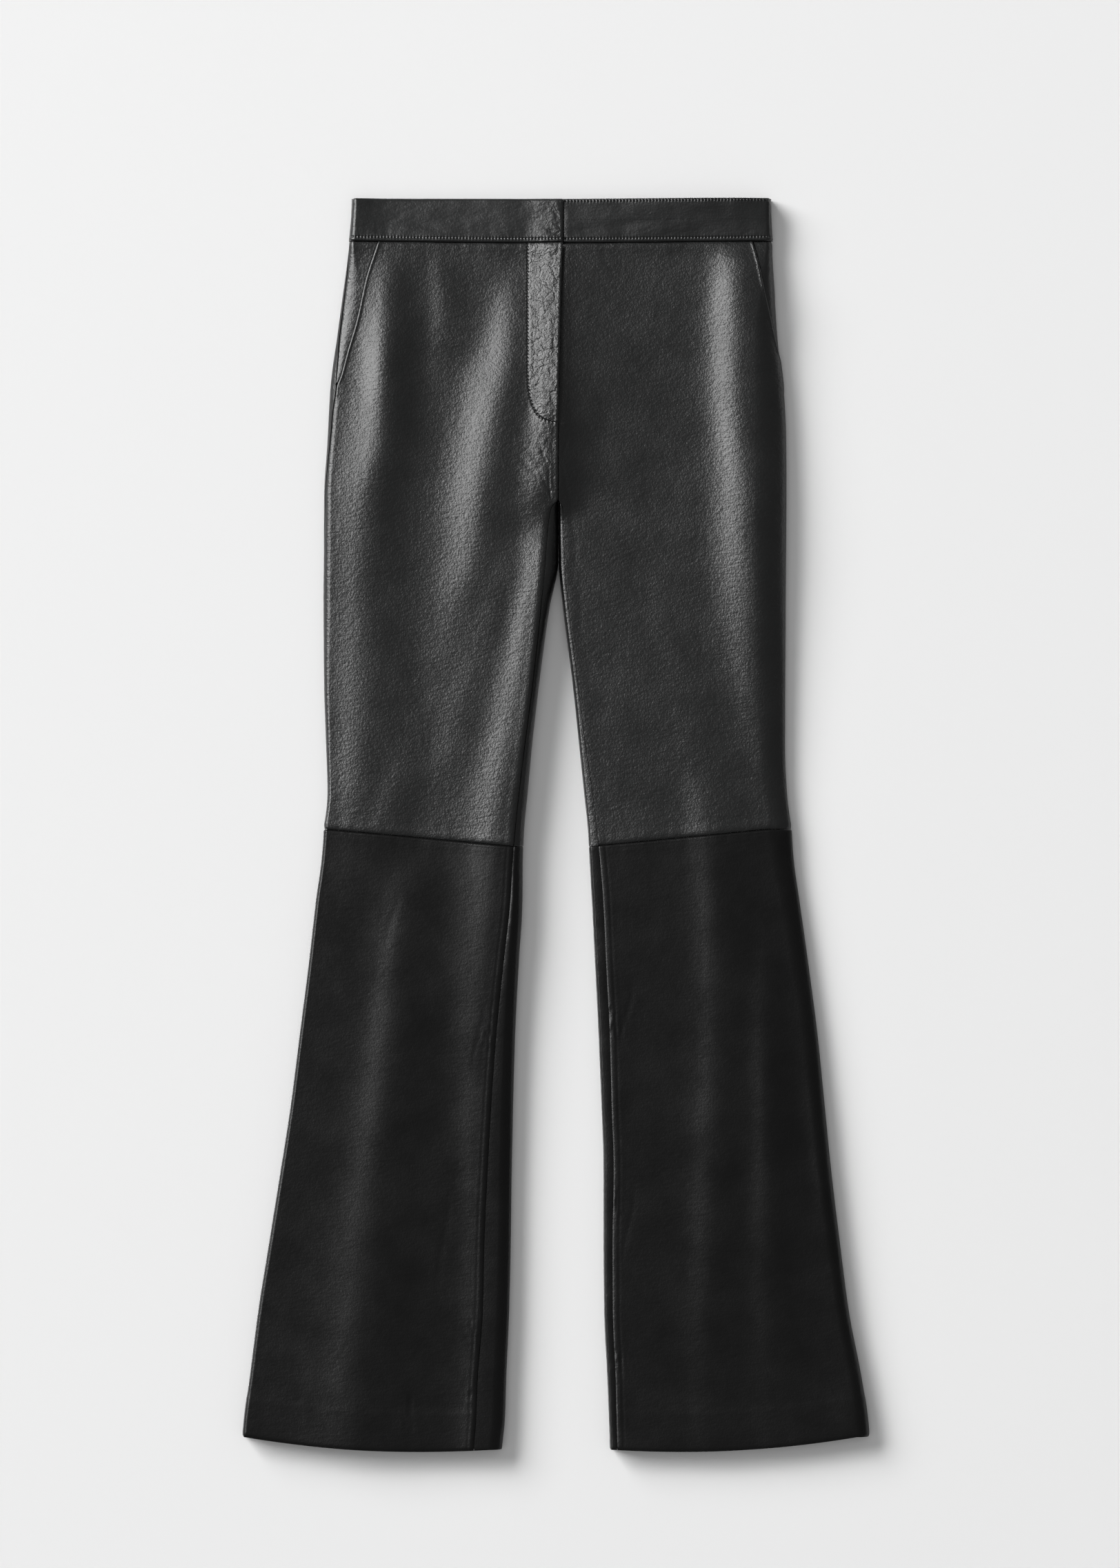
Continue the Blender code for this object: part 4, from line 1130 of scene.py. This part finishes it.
# How finely each cut is meshed: rows in mm, columns across
detail = {
    "row": 2.2,
    "backRow": 3.0,
    "facingRow": 2.4,
    "bandRow": 1.6,
    "bandBackRow": 4.0,
    "columns": 124,
    "calfColumns": 112,
    "bandColumns": 110,
    "facingColumns": 18,
    "evenShare": 0.22,             # one spaces the columns evenly, zero crowds them at both ends
    "bandEvenShare": 0.3,
    "underColumns": (5, 8, 10),    # inner roll, underside, outer roll
    "forkColumns": 12,
    "calfBackColumns": (14, 5, 8, 8),
    "bandBackColumns": (2, 8, 8),
    "rowSamples": 400,             # points along a row of stitches on the waistband
}
madeSheets = {}
rollEnd = 2.999999  # just before turn 3, where the underside begins
bandEnd = 0.02      # where the waistband's front meets its back, in turns from the outer fold


def layCut(name, patches, material, fields=None):
    piece = wallPiece(name + "_skin", patches, material, fields)
    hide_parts(name)
    madeSheets[name] = piece


def frontThigh(side):
    levels = levelRows(garment["bandSeam"], garment["kneeSeam"], detail["row"])
    first = shifted(side, mouthTurn(side, levels), levels, halfGap)
    last = np.where(levels < garment["crotch"], 2.0, turnAt(side, inseamAt[side], levels))
    last = np.where(levels < garment["crotch"], last, shifted(side, last, levels, -halfGap))
    turns = spaced(side, first, last, levels, detail["columns"], detail["evenShare"])
    grid = panelGrid(side, turns, levels, garment["lapDrop"])
    patch = raised(grid, frontThighRelief(side, grid), garment["leather"])
    name, fields = f"front_{side}_thigh", frontThighFields(side, grid)
    layCut(name, [patch], flyLeather, fields)


def frontCalf(side):
    levels = levelRows(garment["kneeSeam"], garment["hem"], detail["row"])
    first = shifted(side, sideSeamAt[side](levels), levels, halfGap)
    last = shifted(side, turnAt(side, inseamAt[side], levels), levels, -halfGap)
    turns = spaced(side, first, last, levels, detail["calfColumns"], detail["evenShare"])
    grid = panelGrid(side, turns, levels)
    patch = raised(grid, frontCalfRelief(side, grid), hemWall(grid))
    layCut(f"front_{side}_calf", [patch], calfLeather)


def hemWall(grid):
    # two layers where the hem is turned up
    thicker = smooth((garment["hemTurn"] - grid["fromBottom"]) / garment["hemEase"])
    return (garment["leather"] + (garment["hemWall"] - garment["leather"]) * thicker)[..., None]


def backThigh(side):
    joins = (garment["crotch"], garment["seatFold"])
    levels = levelRows(garment["bandSeam"], garment["kneeSeam"], detail["backRow"], also=joins)
    whole = np.ones_like(levels)
    last = shifted(side, 6 + sideSeamAt[side](levels), levels, -halfGap)
    underside = spread([3 * whole, 4 * whole, 5 * whole, last], detail["underColumns"])
    fork = levels[levels >= garment["crotch"]]
    first = shifted(side, turnAt(side, inseamAt[side], fork), fork, halfGap)
    strip = spread([first, np.full_like(fork, rollEnd)], [detail["forkColumns"]])
    grids = [panelGrid(side, underside, levels), panelGrid(side, strip, fork)]
    patches = [raised(grid, 0 * grid["x"], garment["leather"]) for grid in grids]
    layCut(f"back_{side}_thigh", patches, thighLeather)


def backCalf(side):
    levels = levelRows(garment["kneeSeam"], garment["hem"], detail["backRow"])
    whole = np.ones_like(levels)
    first = shifted(side, turnAt(side, inseamAt[side], levels), levels, halfGap)
    last = shifted(side, 6 + sideSeamAt[side](levels), levels, -halfGap)
    turns = spread([first, 3 * whole, 4 * whole, 5 * whole, last], detail["calfBackColumns"])
    grid = panelGrid(side, turns, levels)
    patch = raised(grid, backCalfRelief(side, grid), hemWall(grid))
    layCut(f"back_{side}_calf", [patch], calfLeather)


def pocketFacing(side):
    levels = levelRows(garment["bandSeam"], garment["facingEnd"][side] + 0.3, detail["facingRow"])
    first = shifted(side, sideSeamAt[side](levels), levels, halfGap)
    last = shifted(side, mouthTurn(side, levels), levels, -halfGap)
    grid = panelGrid(side, spread([first, last], [detail["facingColumns"]]), levels)
    sunk = garment["facingSunk"] * np.linspace(0, 1, detail["facingColumns"] + 1)[None, :]
    patch = raised(grid, cutRelief(side, grid, pocketFacings), pocketFacings["wall"], sunk=sunk)
    layCut(f"pocket_facing_{side}", [patch], thighLeather)


def waistbandFront(side):
    levels = levelRows(-halfGap, garment["bandSeam"], detail["bandRow"])
    whole = np.ones_like(levels)
    turns = spaced(side, bandEnd * whole, 2 * whole, levels, detail["bandColumns"], detail["bandEvenShare"])
    grid = panelGrid(side, turns, levels, garment["bandDrop"])
    patch = raised(grid, bandRelief(side, grid), garment["bandWall"], proud=garment["bandProud"])
    name, fields = f"waistband_front_{side}", bandFields(side, grid)
    layCut(name, [patch], stitchedBand, fields)


def waistbandBack():
    levels = levelRows(-halfGap, garment["bandSeam"], detail["bandBackRow"])
    whole = np.ones_like(levels)
    turns = spread([3 * whole, 4 * whole, 5 * whole, (6 - bandEnd) * whole], detail["bandBackColumns"])
    grids = [panelGrid(side, turns, levels) for side in sides]
    patches = [raised(grid, 0 * grid["x"], garment["bandWall"], proud=garment["bandProud"]) for grid in grids]
    for outer, inner in patches:
        outer[:, 0, 0] = inner[:, 0, 0] = innerFoldAt["right"](0)
    layCut("waistband_back", patches, bandLeather)


threadLook = {
    "radius": 0.24,
    "rise": 0.16,   # how far a stitch's middle stands off the leather
    "sunk": 0.1,    # how far the thread is drawn into its groove
    "start": 0.13,  # a stitch's start and length, as shares of the pitch
    "length": 0.74,
    "bluntest": 0.04,
    "bandSpan": (0.9, 1.99),  # the turns between which the waistband is sewn
    "sides": 6,
    "steps": 5,
}
castHeight = 0.2  # metres, above everything


def stitchRow(name, piece, path, pitch):
    # one short length of thread for each stitch, laid on a piece along (x, y) points in millimetres
    data = piece.data
    tree = BVHTree.FromPolygons([v.co for v in data.vertices], [face.vertices[:] for face in data.polygons])
    path = np.array(path, float)
    run = np.concatenate([[0], np.cumsum(np.hypot(*np.diff(path, axis=0).T))])
    verts, faces = [], []
    count = threadLook["sides"]
    t = np.linspace(0, 1, threadLook["steps"])
    thickness = threadLook["radius"] * np.sqrt(np.maximum(1 - (2 * t - 1) ** 4, threadLook["bluntest"]))
    rise = threadLook["rise"] * np.sin(np.pi * t) - threadLook["sunk"]
    for k in range(int(run[-1] / pitch)):
        where = (k + threadLook["start"] + threadLook["length"] * t) * pitch
        x, y = np.interp(where, run, path[:, 0]), np.interp(where, run, path[:, 1])
        heading = np.arctan2(y[-1] - y[0], x[-1] - x[0])
        rings = []
        for px, py, thick, lift in zip(x, y, thickness, rise):
            hit = tree.ray_cast(Vector((px * mm, py * mm, castHeight)), Vector((0, 0, -1)))[0]
            if hit is None:
                break
            z = hit.z / mm + lift
            ring = []
            for angle in 2 * np.pi * np.arange(count) / count:
                offX = -np.sin(heading) * np.cos(angle) * thick
                offY = np.cos(heading) * np.cos(angle) * thick
                ring.append(len(verts))
                verts.append(((px + offX) * mm, (py + offY) * mm, (z + np.sin(angle) * thick) * mm))
            rings.append(ring)
        if len(rings) < 2:
            continue
        faces += [rings[0][::-1], rings[-1]]
        for lower, upper in zip(rings[:-1], rings[1:]):
            for near in range(count):
                after = (near + 1) % count
                faces.append((lower[near], lower[after], upper[after], upper[near]))
    mesh = bpy.data.meshes.new(name)
    mesh.from_pydata(verts, [], faces)
    mesh.shade_smooth()
    mesh.materials.append(thread)
    row = bpy.data.objects.new(name, mesh)
    bpy.context.scene.collection.objects.link(row)
    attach(row, "root")
    print("sewn", name, len(faces), "faces")


def sewFly():
    y = garment["length"] / 2
    path = [(x, y - below) for below, x in flyStitch["line"]]
    stitchRow("fly_stitching", madeSheets["front_right_thigh"], path, flyStitch["pitch"])


def sewBand(name, side, level):
    turns = np.linspace(*threadLook["bandSpan"], detail["rowSamples"])
    path = ringPoint(side, turns, np.full_like(turns, level), garment["bandDrop"])[:, :2]
    stitchRow(name, madeSheets[f"waistband_front_{side}"], path, bandStitch["pitch"])


for side in sides:
    frontThigh(side)
    frontCalf(side)
    backThigh(side)
    backCalf(side)
    pocketFacing(side)
    waistbandFront(side)
waistbandBack()
sewFly()
for side in sides:
    sewBand("waistband_stitching_" + side, side, garment["bandSeam"] - bandStitch["inset"])
sewBand("waistband_top_stitching", "left", bandStitch["topInset"])
for name, finish in (
    ("fly_zip", "zip tape, woven polyester"),
    ("waist_hook", "hook plate, stamped steel, zinc plated"),
):
    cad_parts[name].material_slots[0].material = plainMaterial(finish)

# The surface, softboxes and camera
studio = {
    "reach": 6,  # metres from the middle of the surface to each edge
    "world": 0.234,
}
# The sheen's boxes don't light the board, so leather and shadows are each set by their own lamps
softboxes = {
    # azimuth, height, distance, width, depth, watts, what it lights
    "key": (144, 22, 24.0, 17.0, 9.0, 9790, "matt"),
    "overhead fill": (0, 90, 24.0, 30.0, 30.0, 780, "matt"),
    "long softbox": (150, 27, 24.0, 18.0, 12.6, 9560, "sheen"),
    "sheen card": (162, 57, 24.0, 15.6, 8.4, 4860, "sheen"),
}
copyStand = {
    # metres: the camera's place and height, what it sees from top to bottom, and at what height
    "place": (0.0035, 0.0357),
    "height": 4.5,
    "span": 1.3417,
    "focus": 0.015,
    "sensor": 36.0,  # mm
}


def addFloor():
    edge = studio["reach"]
    mesh = bpy.data.meshes.new("floor")
    corners = [(-edge, -edge, 0), (edge, -edge, 0), (edge, edge, 0), (-edge, edge, 0)]
    mesh.from_pydata(corners, [], [(0, 1, 2, 3)])
    floor = bpy.data.objects.new("floor", mesh)
    bpy.context.scene.collection.objects.link(floor)
    mesh.materials.append(plainMaterial("matt white studio board"))


def addSoftbox(name, azimuth, height, away, width, depth, power, lights):
    azimuth, height = np.radians(azimuth), np.radians(height)
    way = np.array([np.cos(height) * np.cos(azimuth), np.cos(height) * np.sin(azimuth), np.sin(height)])
    light = bpy.data.lights.new(name, "AREA")
    light.shape = "RECTANGLE"
    light.size, light.size_y = width, depth
    light.energy = power
    box = bpy.data.objects.new(name, light)
    box.location = way * away
    box.rotation_euler = Vector(-way).to_track_quat("-Z", "Y").to_euler()
    box.visible_diffuse = lights == "matt"
    box.visible_glossy = lights == "sheen"
    bpy.context.scene.collection.objects.link(box)


def addWorld():
    world = bpy.data.worlds.new("studio")
    world.use_nodes = True
    background = world.node_tree.nodes["Background"]
    background.inputs["Color"].default_value = (1, 1, 1, 1)
    background.inputs["Strength"].default_value = studio["world"]
    bpy.context.scene.world = world


def addCamera():
    # straight down, as far off as a copy stand's long lens
    lens = bpy.data.cameras.new("camera")
    lens.sensor_width = copyStand["sensor"]
    lens.lens = copyStand["sensor"] * (copyStand["height"] - copyStand["focus"]) / copyStand["span"]
    camera = bpy.data.objects.new("camera", lens)
    camera.location = (*copyStand["place"], copyStand["height"])
    bpy.context.scene.collection.objects.link(camera)
    bpy.context.scene.camera = camera


addFloor()
for name, settings in softboxes.items():
    addSoftbox(name, *settings)
addWorld()
addCamera()
bpy.context.scene.view_settings.view_transform = "Standard"
print("lit by", len(softboxes), "softboxes")
